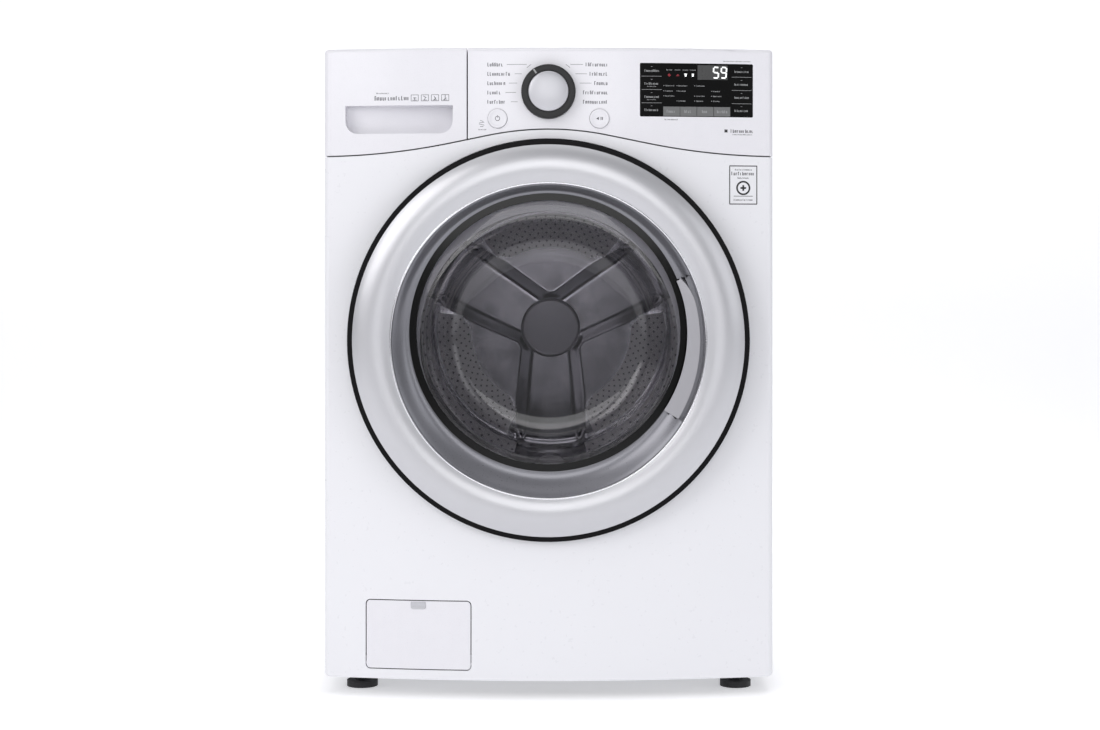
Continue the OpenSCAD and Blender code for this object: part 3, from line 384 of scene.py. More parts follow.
def settle(obj, angle=35.0):
    """Leaves edit mode, applies the object's place to its mesh, and smooths its shading."""
    if obj.mode != "OBJECT":
        bpy.ops.object.mode_set(mode="OBJECT")
    bpy.ops.object.select_all(action="DESELECT")
    obj.select_set(True)
    bpy.context.view_layer.objects.active = obj
    bpy.ops.object.transform_apply(location=True, rotation=True, scale=True)
    bpy.ops.object.shade_smooth_by_angle(angle=math.radians(angle))


def modify(obj, kind, **settings):
    modifier = obj.modifiers.new(kind.title(), kind)
    for key, value in settings.items():
        setattr(modifier, key, value)
    bpy.ops.object.select_all(action="DESELECT")
    obj.select_set(True)
    bpy.context.view_layer.objects.active = obj
    bpy.ops.object.modifier_apply(modifier=modifier.name)


def outward(obj):
    edit()
    bpy.ops.mesh.select_all(action="SELECT")
    bpy.ops.mesh.remove_doubles(threshold=1e-6)
    bpy.ops.mesh.normals_make_consistent(inside=False)
    bpy.ops.object.mode_set(mode="OBJECT")


def ringed(name, loops, y0=None, middle=(0.0, None), count=192, closed=True, angle=35.0):
    """A piece of round loops about the Y axis: each loop is (radius, depth, rise) in millimetres.
    Depths are forward of y0. Each loop is extruded from the last, and the last is bridged to the first."""
    y0 = HINGE_Y if y0 is None else y0
    x, z = middle[0], DOOR_Z if middle[1] is None else middle[1]
    loops = [tuple(v * MM for v in (tuple(loop) + (0.0,))[:3]) for loop in loops]
    radius, depth, rise = loops[0]
    obj = start(name, bpy.ops.mesh.primitive_circle_add, vertices=count, radius=radius,
                location=(x, y0 - depth, z + rise), rotation=(math.pi / 2, 0, 0))
    edit()
    bpy.ops.mesh.select_all(action="SELECT")
    for new_radius, new_depth, new_rise in loops[1:]:
        bpy.ops.mesh.extrude_region_move(
            TRANSFORM_OT_translate={"value": (0, depth - new_depth, new_rise - rise)})
        k = max(new_radius, 1e-5) / radius
        bpy.ops.transform.resize(value=(k, 1, k), center_override=(x, y0 - new_depth, z + new_rise))
        radius, depth, rise = max(new_radius, 1e-5), new_depth, new_rise
    if closed:
        last = len(loops) * count
        pick(obj, lambda e: all(v.index < count or v.index >= last - count for v in e.verts)
             and abs(e.verts[0].index // count - e.verts[1].index // count) == 0, "edges")
        bpy.ops.mesh.bridge_edge_loops()
    outward(obj)
    settle(obj, angle)
    return obj


def arc(x, y, r, a0, a1, n):
    """Points on an arc of a section, with angles in degrees, in millimetres."""
    return [(x + r * math.cos(math.radians(a0 + (a1 - a0) * i / n)),
             y + r * math.sin(math.radians(a0 + (a1 - a0) * i / n))) for i in range(n + 1)]


def bow_y(x):
    """Where the bowed front lies at x."""
    bow = bpy.context.scene.washer_sizes.bow
    r = (HALF_W ** 2 + bow ** 2) / (2 * bow)
    return CROWN + r - math.sqrt(r * r - x * x)


def bow_angle(x):
    bow = bpy.context.scene.washer_sizes.bow
    return math.asin(x * 2 * bow / (HALF_W ** 2 + bow ** 2))


def marks(name, boxes, finish, body="cabinet", proud=0.08, sunk=0.02):
    """Printed marks on the bowed front: each is (x, z, width, height, turn) in millimetres and degrees."""
    obj = blank(name)
    for mark in boxes:
        x, z, w, h, turn = (tuple(mark) + (0.0,))[:5]
        bpy.ops.mesh.primitive_cube_add(
            size=1, location=(x * MM, bow_y(x * MM) + sunk * MM, z * MM), scale=(w * MM, 2 * proud * MM,
                    h * MM),
            rotation=(0, math.radians(turn), bow_angle(x * MM)))
    settle(obj)
    dress(obj, finish)
    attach(obj, body)
    return obj


# ---------------------------------------------------------------- pieces

class Maker(bpy.types.Operator):
    """Builds one group of pieces"""
    bl_idname = "washer.maker"
    bl_label = "Maker"
    bl_options = {"REGISTER", "UNDO"}

    def execute(self, context):
        self.build(context.scene.washer_sizes)
        return {"FINISHED"}

    def build(self, sizes):
        raise RuntimeError("nothing to build")


class DressFrame(Maker):
    """Gives every CAD node the finish of its material slot, and two of them one of their own"""
    bl_idname = "washer.dress_frame"
    bl_label = "Finishes"

    def build(self, sizes):
        make_finishes()
        for part in frame["record"]["subparts"]:
            dress(frame["nodes"][part["node"]], part["material_slot"])
        dress(frame["nodes"]["knob_cap"], "knob_cap")
        dress(frame["nodes"]["door_trim_ring"], "black_plastic")


class DoorRing(Maker):
    """Bright inner lip of the door ring"""
    bl_idname = "washer.door_lip"
    bl_label = "Door lip"

    def build(self, sizes):
        section = arc(237.2, 25.2, 1.9, 0, 360, 12)[:-1]
        lip = ringed("door_lip", section, count=256)
        dress(lip, "bright")
        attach(lip, "door")


class Bezel(Maker):
    """Grey bezel that falls in a hollow curve from the ring to the window, open at the finger pocket"""
    bl_idname = "washer.bezel"
    bl_label = "Bezel"

    def build(self, sizes):
        rise, window = sizes.window_rise / MM, sizes.window_radius / MM
        loops = [(235.7, 5, 0), (235.7, 23, 0), (235.2, 23.8, 0), (234, 24, 0)]
        for i in range(1, 15):
            t = i / 14
            loops.append((234 + (window + 2 - 234) * t ** 0.85, 24 - 15.5 * math.sin(t * math.pi / 2),
                          rise * t))
        loops += [(window + 0.8, 7.7, rise), (window, 7, rise), (window, 5, rise)]
        bezel = ringed("bezel", loops, count=288)
        edit()
        pick(bezel, lambda f: -31.2 < math.degrees(math.atan2(f.calc_center_median().z - DOOR_Z,
                                                              f.calc_center_median().x)) < 25.2
             and f.calc_center_median().x > 0, "faces")
        bpy.ops.mesh.delete(type="FACE")
        bpy.ops.mesh.select_mode(type="EDGE")
        for high in (False, True):
            pick(bezel, lambda e: e.is_boundary and (e.verts[0].co.z > DOOR_Z) == high, "edges")
            bpy.ops.mesh.edge_face_add()
        outward(bezel)
        settle(bezel, 30)
        dress(bezel, "bezel_plastic")
        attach(bezel, "door")
        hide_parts("door_bezel")


class Grip(Maker):
    """Crescent grip over the finger pocket, with softened edges, and the pocket's dark floor"""
    bl_idname = "washer.grip"
    bl_label = "Door grip"

    def build(self, sizes):
        rise, window = sizes.window_rise, sizes.window_radius

        def inner(a):
            return rise * math.sin(a) + math.sqrt(window ** 2 - (rise * math.cos(a)) ** 2)

        grip = start("door_grip_bar", bpy.ops.mesh.primitive_grid_add, x_subdivisions=64, y_subdivisions=14,
                     size=1)
        low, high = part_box("door_handle")
        for v in grip.data.vertices:
            u, w = v.co.x + 0.5, v.co.y + 0.5
            a = math.radians(-31 + 56 * u)
            near, far = inner(a), 226 * MM - max(0, (u - 0.8) / 0.2) ** 2 * 9 * MM
            r = near + (far - near) * w
            crown = (1 - abs(2 * w - 1) ** 3.5) * 2.2 * MM - 2.2 * MM
            v.co = (r * math.cos(a), low.y + 0.2 * MM - crown, DOOR_Z + r * math.sin(a))
        modify(grip, "SOLIDIFY", thickness=3.2 * MM, offset=-1)
        outward(grip)
        modify(grip, "BEVEL", width=0.8 * MM, segments=3, limit_method="ANGLE", angle_limit=math.radians(50))
        settle(grip, 40)
        deepest = max(v.co.y for v in grip.data.vertices)
        foremost = min(v.co.y for v in grip.data.vertices)
        if deepest > high.y or foremost < low.y - 0.001 * MM:
            for v in grip.data.vertices:
                v.co.y = min(max(v.co.y, low.y), high.y)
        dress(grip, "grip_silver")
        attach(grip, "door")
        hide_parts("door_handle")
        pocket = ringed("grip_pocket", [(226.5, 5.2), (235.5, 5.2), (235.5, 20), (234.5, 20), (234.5, 6.2),
                                        (226.5, 6.2)],
                        count=288)
        edit()
        pick(pocket, lambda f: not (-31 < math.degrees(math.atan2(
            f.calc_center_median().z - DOOR_Z, f.calc_center_median().x)) < 25), "faces")
        bpy.ops.mesh.delete(type="FACE")
        for high_end in (False, True):
            pick(pocket, lambda e: e.is_boundary and (e.verts[0].co.z > DOOR_Z) == high_end, "edges")
            bpy.ops.mesh.edge_face_add()
        outward(pocket)
        settle(pocket)
        dress(pocket, "bezel_plastic")
        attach(pocket, "door")


class Glass(Maker):
    """Blown bowl of the door glass, and the black band printed round its window"""
    bl_idname = "washer.glass"
    bl_label = "Door glass"

    def build(self, sizes):
        outer = [(228, 0), (228, 4.6), (227.6, 5)]
        inside = [(186, 5)] + arc(176, -5, 10, 90, 12, 8)[1:] + arc(137, -85, 24, -12, -84, 10)
        inside += [(110, -110.3), (60, -111), (0.01, -111.2)]
        outside = [(0.01, -115), (60, -114.9), (112, -114.6)] + arc(138, -86.4, 28, -84, -12, 10) \
            + arc(177, -5, 13, -12, 30, 5) + [(190.5, 0)]
        loops = outer + inside + outside
        bowl = ringed("glass_bowl", loops, count=192, angle=50)
        dress(bowl, "smoked_glass")
        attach(bowl, "door")
        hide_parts("door_glass")
        rise, band = sizes.window_rise / MM, sizes.band_radius / MM
        frit = ringed("black_band", [(band, 5.05, rise), (band + 0.6, 5.5, rise), (212.5, 5.5, rise),
                                     (212.5, 5.05, rise)],
                      count=256)
        dress(frit, "display_black")
        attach(frit, "door")


class DrumWall(Maker):
    """Perforated drum wall with its beads, and the rolled lip of its mouth"""
    bl_idname = "washer.drum_wall"
    bl_label = "Drum wall"

    def build(self, sizes):
        radius = DRUM_HIGH.x - 2 * MM
        front, back = DRUM_LOW.y + 10 * MM, BACK_LOW.y + 10 * MM
        columns, rows = 216, 52
        wall = start("drum_wall", bpy.ops.mesh.primitive_grid_add, x_subdivisions=columns,
                     y_subdivisions=rows, size=1)
        for v in wall.data.vertices:
            v.co.x = (v.co.x + 0.5) * columns * 8 * MM
            v.co.y = (v.co.y + 0.5) * rows * 8 * MM
        edit()

        def holed(v):
            i, j = round(v.co.x / (8 * MM)), round(v.co.y / (8 * MM))
            turn = (i / columns * 360 - 90 + 60) % 120 - 60
            strip = 5 <= j <= 18 or 24 <= j <= 44
            side = 39 - (4 if j in (5, 18, 24, 44) else 0)
            return (i + j) % 2 == 0 and abs(turn) < side and strip

        pick(wall, holed)
        bpy.ops.mesh.bevel(offset=sizes.hole_radius, offset_type="OFFSET", segments=2, profile=0.5,
                           affect="VERTICES")
        bpy.ops.mesh.select_mode(type="FACE")
        small = (6 * MM) ** 2 / 8
        pick(wall, lambda f: f.calc_area() < small and len(f.verts) <= 4, "faces")
        bpy.ops.mesh.delete(type="FACE")
        bpy.ops.object.mode_set(mode="OBJECT")
        modify(wall, "SOLIDIFY", thickness=1.0 * MM, offset=1)
        length = rows * 8 * MM
        for v in wall.data.vertices:
            a = v.co.x / (columns * 8 * MM) * 2 * math.pi
            t = v.co.y / length
            bead = 2.6 * math.exp(-((t - 0.405) / 0.012) ** 2) \
                + sum(1.3 * math.exp(-((t - c) / 0.006) ** 2) for c in (0.02, 0.045, 0.07))
            r = radius + 1.2 * MM - bead * MM + min(0.6 * MM, max(-0.6 * MM, v.co.z))
            v.co = (r * math.cos(a), front + (back - front) * t, DOOR_Z + r * math.sin(a))
        outward(wall)
        settle(wall, 40)
        dress(wall, "stainless")
        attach(wall, "drum")
        lip = ringed("drum_lip", [(277.5, -2), (277.5, 6), (276, 8)] + [(230, 8.6)] + arc(221, 5, 4.4, 60,
                400, 14)
                     + [(229, 6.2), (274.5, 6.2), (276, 4.8), (276, -2)], y0=DRUM_LOW.y + 9 * MM, count=256)
        dress(lip, "stainless")
        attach(lip, "drum")
        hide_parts("drum_shell")


def nearest_arm(x, z):
    """How far out along the nearest arm a point of the drum's back lies, and how far to its side."""
    return max(((x * math.cos(a) + z * math.sin(a), abs(z * math.cos(a) - x * math.sin(a)))
                for a in map(math.radians, LIFTER_ANGLES)), key=lambda place: place[0])


def ease(t):
    t = min(1.0, max(0.0, t))
    return t * t * (3 - 2 * t)


def back_relief(x, z, height):
    """How far the pressed back stands forward at x, z from its centre."""
    r = math.hypot(x, z)
    along, across = nearest_arm(x, z)
    half = 36 * MM + 0.1 * along
    arm = ease((half + 25 * MM - across) / (38 * MM))
    hub = ease((66 * MM - r) / (14 * MM))
    lobe = 0.55 * ease((r - 136 * MM) / (70 * MM)) * (1 - arm)
    bead = 0.35 * math.exp(-((r - 210 * MM) / (2.6 * MM)) ** 2)
    rim = ease((r - 262 * MM) / (8 * MM))
    level = max(arm, hub, 0.25 + lobe * 0.7) * (1 - rim) + 0.4 * rim
    return height * min(1.25, level + bead)


class DrumBack(Maker):
    """Pressed drum back: three arms, perforated lobes between them, the bead round them and the hub's cap"""
    bl_idname = "washer.drum_back"
    bl_label = "Drum back"

    def build(self, sizes):
        around, out = 288, 70
        step = 261 * MM / out
        back = start("pressed_back", bpy.ops.mesh.primitive_grid_add, x_subdivisions=around,
                     y_subdivisions=out, size=1)
        for v in back.data.vertices:
            v.co.x, v.co.y = round((v.co.x + 0.5) * around) * step, round((v.co.y + 0.5) * out) * step

        def polar(x, y):
            return x / step / around * 360, 14.5 * MM + y

        def strip(x, y):
            degrees, r = polar(x, y)
            side = abs((degrees - 90 + 60) % 120 - 60)
            return (146 * MM < r < 206 * MM and side < 37 - max(0, 160 * MM - r) / MM * 0.5
                    or 217 * MM < r < 234 * MM and side < 44)

        def holed(v):
            i, j = round(v.co.x / step), round(v.co.y / step)
            return i % 2 == 0 and j % 2 == 0 and (i // 2 + j // 2) % 2 == 0 and strip(v.co.x, v.co.y)

        edit()
        pick(back, holed)
        bpy.ops.mesh.bevel(offset=2.7 * MM, offset_type="OFFSET", segments=2, profile=0.5, affect="VERTICES")
        small = (2.6 * MM) ** 2
        pick(back, lambda f: f.calc_area() < small, "faces")
        bpy.ops.mesh.delete(type="FACE")
        bpy.ops.object.mode_set(mode="OBJECT")
        dress(back, "drum_back")
        # The holed lobes take the pale sieve finish, a painted highlight; the rest keeps the pressed steel.
        back.data.materials.append(FINISH["sieve_painted_highlight"])
        for face in back.data.polygons:
            face.material_index = int(strip(face.center.x, face.center.y))
        for v in back.data.vertices:
            degrees, r = polar(v.co.x, v.co.y)
            x, z = r * math.cos(math.radians(degrees)), r * math.sin(math.radians(degrees))
            v.co = (x, BACK_HIGH.y - 0.8 * MM - back_relief(x, z, sizes.arm_height), DOOR_Z + z)
        outward(back)
        modify(back, "SOLIDIFY", thickness=1.0 * MM, offset=0)
        settle(back, 60)
        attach(back, "drum")
        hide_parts("drum_back")
        cap = ringed("hub_cap", [(53, 0), (53.2, 1.4), (52.2, 2.4), (50, 2.8), (48.6, 2.0), (47, 2.1),
                                 (20, 2.7), (0.01, 2.9),
                                 (0.01, -1), (53, -1)], y0=BACK_LOW.y + 3.0 * MM, count=128)
        dress(cap, "hub")
        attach(cap, "drum")


class Lifters(Maker):
    """Three paddles with rounded crests and side grooves, and bright clips where the back's arms end"""
    bl_idname = "washer.lifters"
    bl_label = "Lifters"

    def build(self, sizes):
        low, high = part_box("drum_lifters")
        length = high.y - low.y
        wall = DRUM_HIGH.x - 3 * MM
        for number, angle in enumerate(LIFTER_ANGLES, 1):
            paddle = start(f"lifter_{number}", bpy.ops.mesh.primitive_cube_add, size=1,
                           location=(0, (low.y + high.y) / 2, 24 * MM), scale=(100 * MM, length, 46 * MM))
            bpy.ops.object.transform_apply(location=True, rotation=True, scale=True)
            edit()
            pick(paddle, lambda f: f.normal.z > 0.5, "faces")
            bpy.ops.transform.resize(value=(0.42, 0.93, 1),
                                     center_override=(0, (low.y + high.y) / 2 + 8 * MM, 47 * MM))
            pick(paddle, lambda f: abs(f.normal.x) > 0.5, "faces")
            bpy.ops.mesh.inset(thickness=11 * MM, use_individual=True)
            bpy.ops.mesh.inset(thickness=2.5 * MM, depth=-2.0 * MM, use_individual=True)
            pick(paddle, lambda e: e.calc_face_angle(0) > 0.5 and max(v.co.z for v in e.verts) > 30 * MM
                 and len(e.link_faces) == 2 and max(f.normal.z for f in e.link_faces) > 0.9
                 or (abs(e.verts[0].co.z - e.verts[1].co.z) > 30 * MM), "edges")
            bpy.ops.mesh.bevel(offset=11 * MM, offset_type="OFFSET", segments=6, profile=0.5, affect="EDGES")
            bpy.ops.object.mode_set(mode="OBJECT")
            modify(paddle, "BEVEL", width=1.0 * MM, segments=2, limit_method="ANGLE",
                   angle_limit=math.radians(28))
            for v in paddle.data.vertices:
                a = v.co.x / wall
                r = min((wall - v.co.z), wall - 1 * MM)
                v.co.y = min(v.co.y, high.y - 14 * MM)
                v.co = (r * math.cos(math.radians(angle) + a), v.co.y,
                        DOOR_Z + r * math.sin(math.radians(angle) + a))
            outward(paddle)
            settle(paddle, 40)
            dress(paddle, "lifter")
            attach(paddle, "drum")
            if number == 1:
                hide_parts("drum_lifters")
            clips = blank(f"arm_clips_{number}")
            for side in (-1, 1):
                for k in range(9):
                    s = k / 8
                    bpy.ops.mesh.primitive_uv_sphere_add(
                        segments=8, ring_count=6, radius=(3.6 - 1.2 * s) * MM,
                        location=((184 + 15 * math.sin(s * 2.6)) * MM, BACK_LOW.y - 2.5 * MM,
                                  side * (60 - 15 * s) * MM))
            bpy.ops.object.mode_set(mode="OBJECT")
            modify(clips, "REMESH", mode="VOXEL", voxel_size=1.0 * MM)
            clips.data.transform(Matrix.Translation((0, 0, DOOR_Z)) @ Matrix.Rotation(math.radians(-angle),
                    4, "Y"))
            settle(clips, 60)
            dress(clips, "bright")
            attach(clips, "drum")


class Gasket(Maker):
    """Grey rubber bellows between the front panel and the tub"""
    bl_idname = "washer.gasket"
    bl_label = "Door gasket"

    def build(self, sizes):
        y0 = GASKET_HIGH.y
        section = [(217.5, 0.3), (207.5, 0.3)] + arc(209.5, 3, 3.2, 180, 150, 2) + [(207.2, 12),
                (207.6, 22)] \
            + arc(211, 25.5, 3.6, 190, 90, 5) + [(219, 29.2)] + arc(221.5, 33, 3.6, -80, 60, 6) \
            + [(214, 37.0)] + arc(209.5, 43, 6.0, 110, 200, 6) + [(202.5, 52)] + arc(202.4, 57.5, 2.2, 240,
                    90, 6) \
            + [(205.5, 62), (207, 67), (216, 69), (226.8, 69.2), (227.8, 66), (227.6, 64.6), (216, 65.4),
               (209.3, 63.6),
               (207.6, 58), (206.4, 52)] \
            + arc(210.5, 43.5, 3.4, 200, 110, 5) + [(215, 40.6)] + arc(221.5, 33.2, 6.3, 60, -80, 8) \
            + [(213, 25.6)] + [(210.6, 22), (210.4, 12), (211.8, 4), (217.5, 3.2)]
        gasket = ringed("rubber_bellows", section, y0=y0, count=192, angle=70)
        modify(gasket, "SUBSURF", levels=1, render_levels=1)
        settle(gasket, 80)
        dress(gasket, "grey_rubber")
        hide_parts("door_gasket")
        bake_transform(gasket)


class Knob(Maker):
    """Programme knob: dark skirt with a pale index, and a domed silver cap"""
    bl_idname = "washer.knob"
    bl_label = "Programme knob"

    def build(self, sizes):
        z = (KNOB_LOW.z + KNOB_HIGH.z) / 2
        r = KNOB_HIGH.x / MM
        front = (CROWN - KNOB_LOW.y) / MM
        skirt = ringed("knob_skirt", [(r, 0.6), (r, front - 3.4)] + arc(r - 3, front - 3.2, 3.0, 4, 86, 6)
                       + [(34, front - 0.1), (31.4, front - 0.4), (31.2, front - 2.4), (8, front - 2.4),
                          (8, front - 6),
                          (r - 5, front - 6), (r - 5, 0.6)], y0=CROWN, middle=(0, z), count=160)
        dress(skirt, "dark_plastic")
        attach(skirt, "knob")
        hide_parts("program_knob")
        spindle = ringed("knob_spindle", [(2.9, -28), (2.9, -4), (7.8, -3.6), (8, front - 6),
                                          (0.01, front - 6),
                                          (0.01, -28)], y0=CROWN, middle=(0, z), count=48)
        dress(spindle, "dark_plastic")
        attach(spindle, "knob")
        c = CAP_HIGH.x / MM - 0.1
        crown = (CROWN - CAP_LOW.y) / MM
        cap = ringed("knob_dome", [(c, front - 2.2), (c, front + 1.0)] + arc(c - 2.2, front + 1.2, 2.2, 5,
                72, 6)
                     + [(c * f, crown - 0.1 - (crown - front - 3.3) * f ** 2) for f in (0.8, 0.6, 0.4, 0.2)]
                     + [(0.01, crown - 0.1), (0.01, front - 2.2)], y0=CROWN, middle=(0, z), count=160)
        dress(cap, "knob_cap")
        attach(cap, "knob")
        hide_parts("knob_cap")
        index = start("knob_index", bpy.ops.mesh.primitive_cube_add, size=1,
                      location=(0, KNOB_LOW.y - 0.02 * MM, z + 36.2 * MM), scale=(2.4 * MM, 0.3 * MM,
                              7.5 * MM))
        bpy.ops.object.transform_apply(location=True, rotation=True, scale=True)
        edit()
        bpy.ops.mesh.select_all(action="SELECT")
        bpy.ops.mesh.bevel(offset=0.1 * MM, segments=2, affect="EDGES")
        bpy.ops.object.mode_set(mode="OBJECT")
        index.data.transform(Matrix.Translation((0, 0, z)) @ Matrix.Rotation(math.radians(-34), 4, "Y")
                             @ Matrix.Translation((0, 0, -z)))
        settle(index)
        # The index is pale print with a painted glow.
        dress(index, "pale_ink_painted_glow")
        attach(index, "knob")


class Buttons(Maker):
    """Round push buttons with dished faces and their printed symbols"""
    bl_idname = "washer.buttons"
    bl_label = "Push buttons"

    def build(self, sizes):
        for node, body, kind in (("power_button", "power_key", 0), ("start_button", "start_key", 1)):
            low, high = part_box(node)
            x, z, r = (low.x + high.x) / 2, (low.z + high.z) / 2, (high.x - low.x) / 2 / MM
            loops = [(r - 0.1, -6), (r - 0.1, -1.0)] + arc(r - 1.5, -1.3, 1.4, 5, 90, 6) \
                + [(r - 2.6, 0.1), (r - 3.4, -0.35), (r * 0.5, -0.75), (0.01, -0.85), (0.01, -6)]
            key = ringed(node + "_face", loops, y0=low.y + 0.2 * MM, middle=(x, z), count=96)
            dress(key, "white_plastic")
            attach(key, body)
            stem = ringed(node + "_stem", [(3, -29), (3, -5.8), (0.01, -5.8), (0.01, -29)],
                          y0=low.y + 0.2 * MM,
                          middle=(x, z), count=32)
            dress(stem, "white_plastic")
            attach(stem, body)
            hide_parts(node)
            if kind == 0:
                sign = ringed("power_symbol", arc(3.3, -0.62, 0.38, 0, 360, 8)[:-1], y0=low.y + 0.2 * MM,
                              middle=(x, z), count=48)
                edit()
                pick(sign, lambda f: abs(f.calc_center_median().x - x) < 1.1 * MM
                     and f.calc_center_median().z > z, "faces")
                bpy.ops.mesh.delete(type="FACE")
                pick(sign, lambda e: e.is_boundary, "edges")
                bpy.ops.mesh.fill_holes(sides=0)
                bpy.ops.mesh.primitive_cube_add(size=1, location=(x, low.y + 0.85 * MM, z + 3 * MM),
                                                scale=(0.8 * MM, 0.5 * MM, 3.4 * MM))
            else:
                sign = start("start_symbol", bpy.ops.mesh.primitive_cylinder_add, vertices=3, radius=2.6 * MM,
                             depth=0.4 * MM, location=(x - 2.2 * MM, low.y + 0.8 * MM, z),
                             rotation=(math.pi / 2, math.radians(-90), 0))
                bpy.ops.object.transform_apply(location=True, rotation=True, scale=True)
                edit()
                for dx in (2.4, 4.6):
                    bpy.ops.mesh.primitive_cube_add(size=1, location=(x + dx * MM, low.y + 0.8 * MM, z),
                                                    scale=(1.0 * MM, 0.4 * MM, 4.4 * MM))
            bpy.ops.object.mode_set(mode="OBJECT")
            settle(sign)
            dress(sign, "ink")
            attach(sign, body)


class SoftJoints(Maker):
    """Suspension springs and hoses, which stretch between the cabinet and the tub"""
    bl_idname = "washer.soft_joints"
    bl_label = "Springs and hoses"

    def build(self, sizes):
        low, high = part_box("suspension_springs")
        first = True
        for x in (low.x, high.x):
            for y in (low.y, high.y):
                cx = x - math.copysign(14 * MM, x)
                cy = y + (13.3 * MM if y == low.y else -13.3 * MM)
                spring = start(f"spring_{'l' if x < 0 else 'r'}{'f' if y == low.y else 'b'}",
                               bpy.ops.mesh.primitive_circle_add, vertices=12, radius=2.0 * MM,
                               location=(cx + 11.2 * MM, cy, low.z + 3 * MM), rotation=(math.pi / 2, 0, 0))
                edit()
                bpy.ops.mesh.select_all(action="SELECT")
                turns = 15
                bpy.ops.mesh.spin(steps=24 * turns, angle=2 * math.pi * turns, center=(cx, cy, low.z),
                                  axis=(0, 0, 1))
                bpy.ops.object.mode_set(mode="OBJECT")
                rise = (high.z - low.z - 6 * MM) / (24 * turns)
                for v in spring.data.vertices:
                    v.co.z += (rise * (v.index // 12)
                               if len(spring.data.vertices) == 12 * (24 * turns + 1) else 0)
                edit()
                pick(spring, lambda e: e.is_boundary, "edges")
                bpy.ops.mesh.fill_holes(sides=0)
                outward(spring)
                settle(spring, 60)
                dress(spring, "steel")
                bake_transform(spring)
                if first:
                    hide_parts("suspension_springs")
                    first = False
        for node, tub_end_high in (("sump_hose", True), ("dispenser_hose", False)):
            low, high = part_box(node)
            cx, cy, r = (low.x + high.x) / 2, (low.y + high.y) / 2, (high.x - low.x) / 2
            tall = high.z - low.z
            folds = int(tall / (14 * MM))
            hose = start(node + "_bellows", bpy.ops.mesh.primitive_circle_add, vertices=64,
                         radius=r - 3.5 * MM,
                         location=(cx, cy, low.z))
            edit()
            bpy.ops.mesh.select_all(action="SELECT")
            z, now = low.z, r - 3.5 * MM
            steps = [(low.z + 8 * MM, r - 3.5 * MM)]
            for i in range(folds * 8 + 1):
                t = i / (folds * 8)
                steps.append((low.z + 8 * MM + t * (tall - 16 * MM),
                              r - 2.2 * MM - 1.6 * MM * math.cos(t * folds * 2 * math.pi)))
            steps += [(high.z, r - 3.5 * MM), (high.z, r - 6.5 * MM), (low.z, r - 6.5 * MM)]
            for new_z, new_r in steps:
                bpy.ops.mesh.extrude_region_move(TRANSFORM_OT_translate={"value": (0, 0, new_z - z)})
                bpy.ops.transform.resize(value=(new_r / now, new_r / now, 1), center_override=(cx, cy, new_z))
                z, now = new_z, new_r
            last = len(steps) * 64
            pick(hose, lambda e: all(v.index < 64 or v.index >= last for v in e.verts)
                 and abs(e.verts[0].index // 64 - e.verts[1].index // 64) == 0, "edges")
            bpy.ops.mesh.bridge_edge_loops()
            outward(hose)
            settle(hose, 70)
            dress(hose, "black_rubber")
            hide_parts(node)
            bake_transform(hose)


def word(x, z, width, height, seed, right=False):
    """Greeked lettering: a row of strokes as long as a word, none of them a letter."""
    out, at, k = [], 0.0, seed
    pitch = height * 0.62
    while at < width - pitch * 0.4:
        k = (k * 73 + 41) % 97
        tall = height * (1.0 if at == 0 else (0.72, 0.72, 0.96, 0.72, 0.72)[k % 5])
        out.append((at + pitch * 0.22, -height / 2 + tall / 2, pitch * 0.3, tall, 0))
        if k % 3:
            out.append((at + pitch * 0.46, -height / 2 + (tall - pitch * 0.2) * (k % 2) + pitch * 0.1,
                        pitch * 0.4,
                        pitch * 0.26, 0))
        if k % 4 > 1:
            out.append((at + pitch * 0.66, -height / 2 + height * 0.36, pitch * 0.26, height * 0.7, 0))
        at += pitch
    shift = x - width if right else x
    return [(shift + a, z + b, w, h, t) for a, b, w, h, t in out]


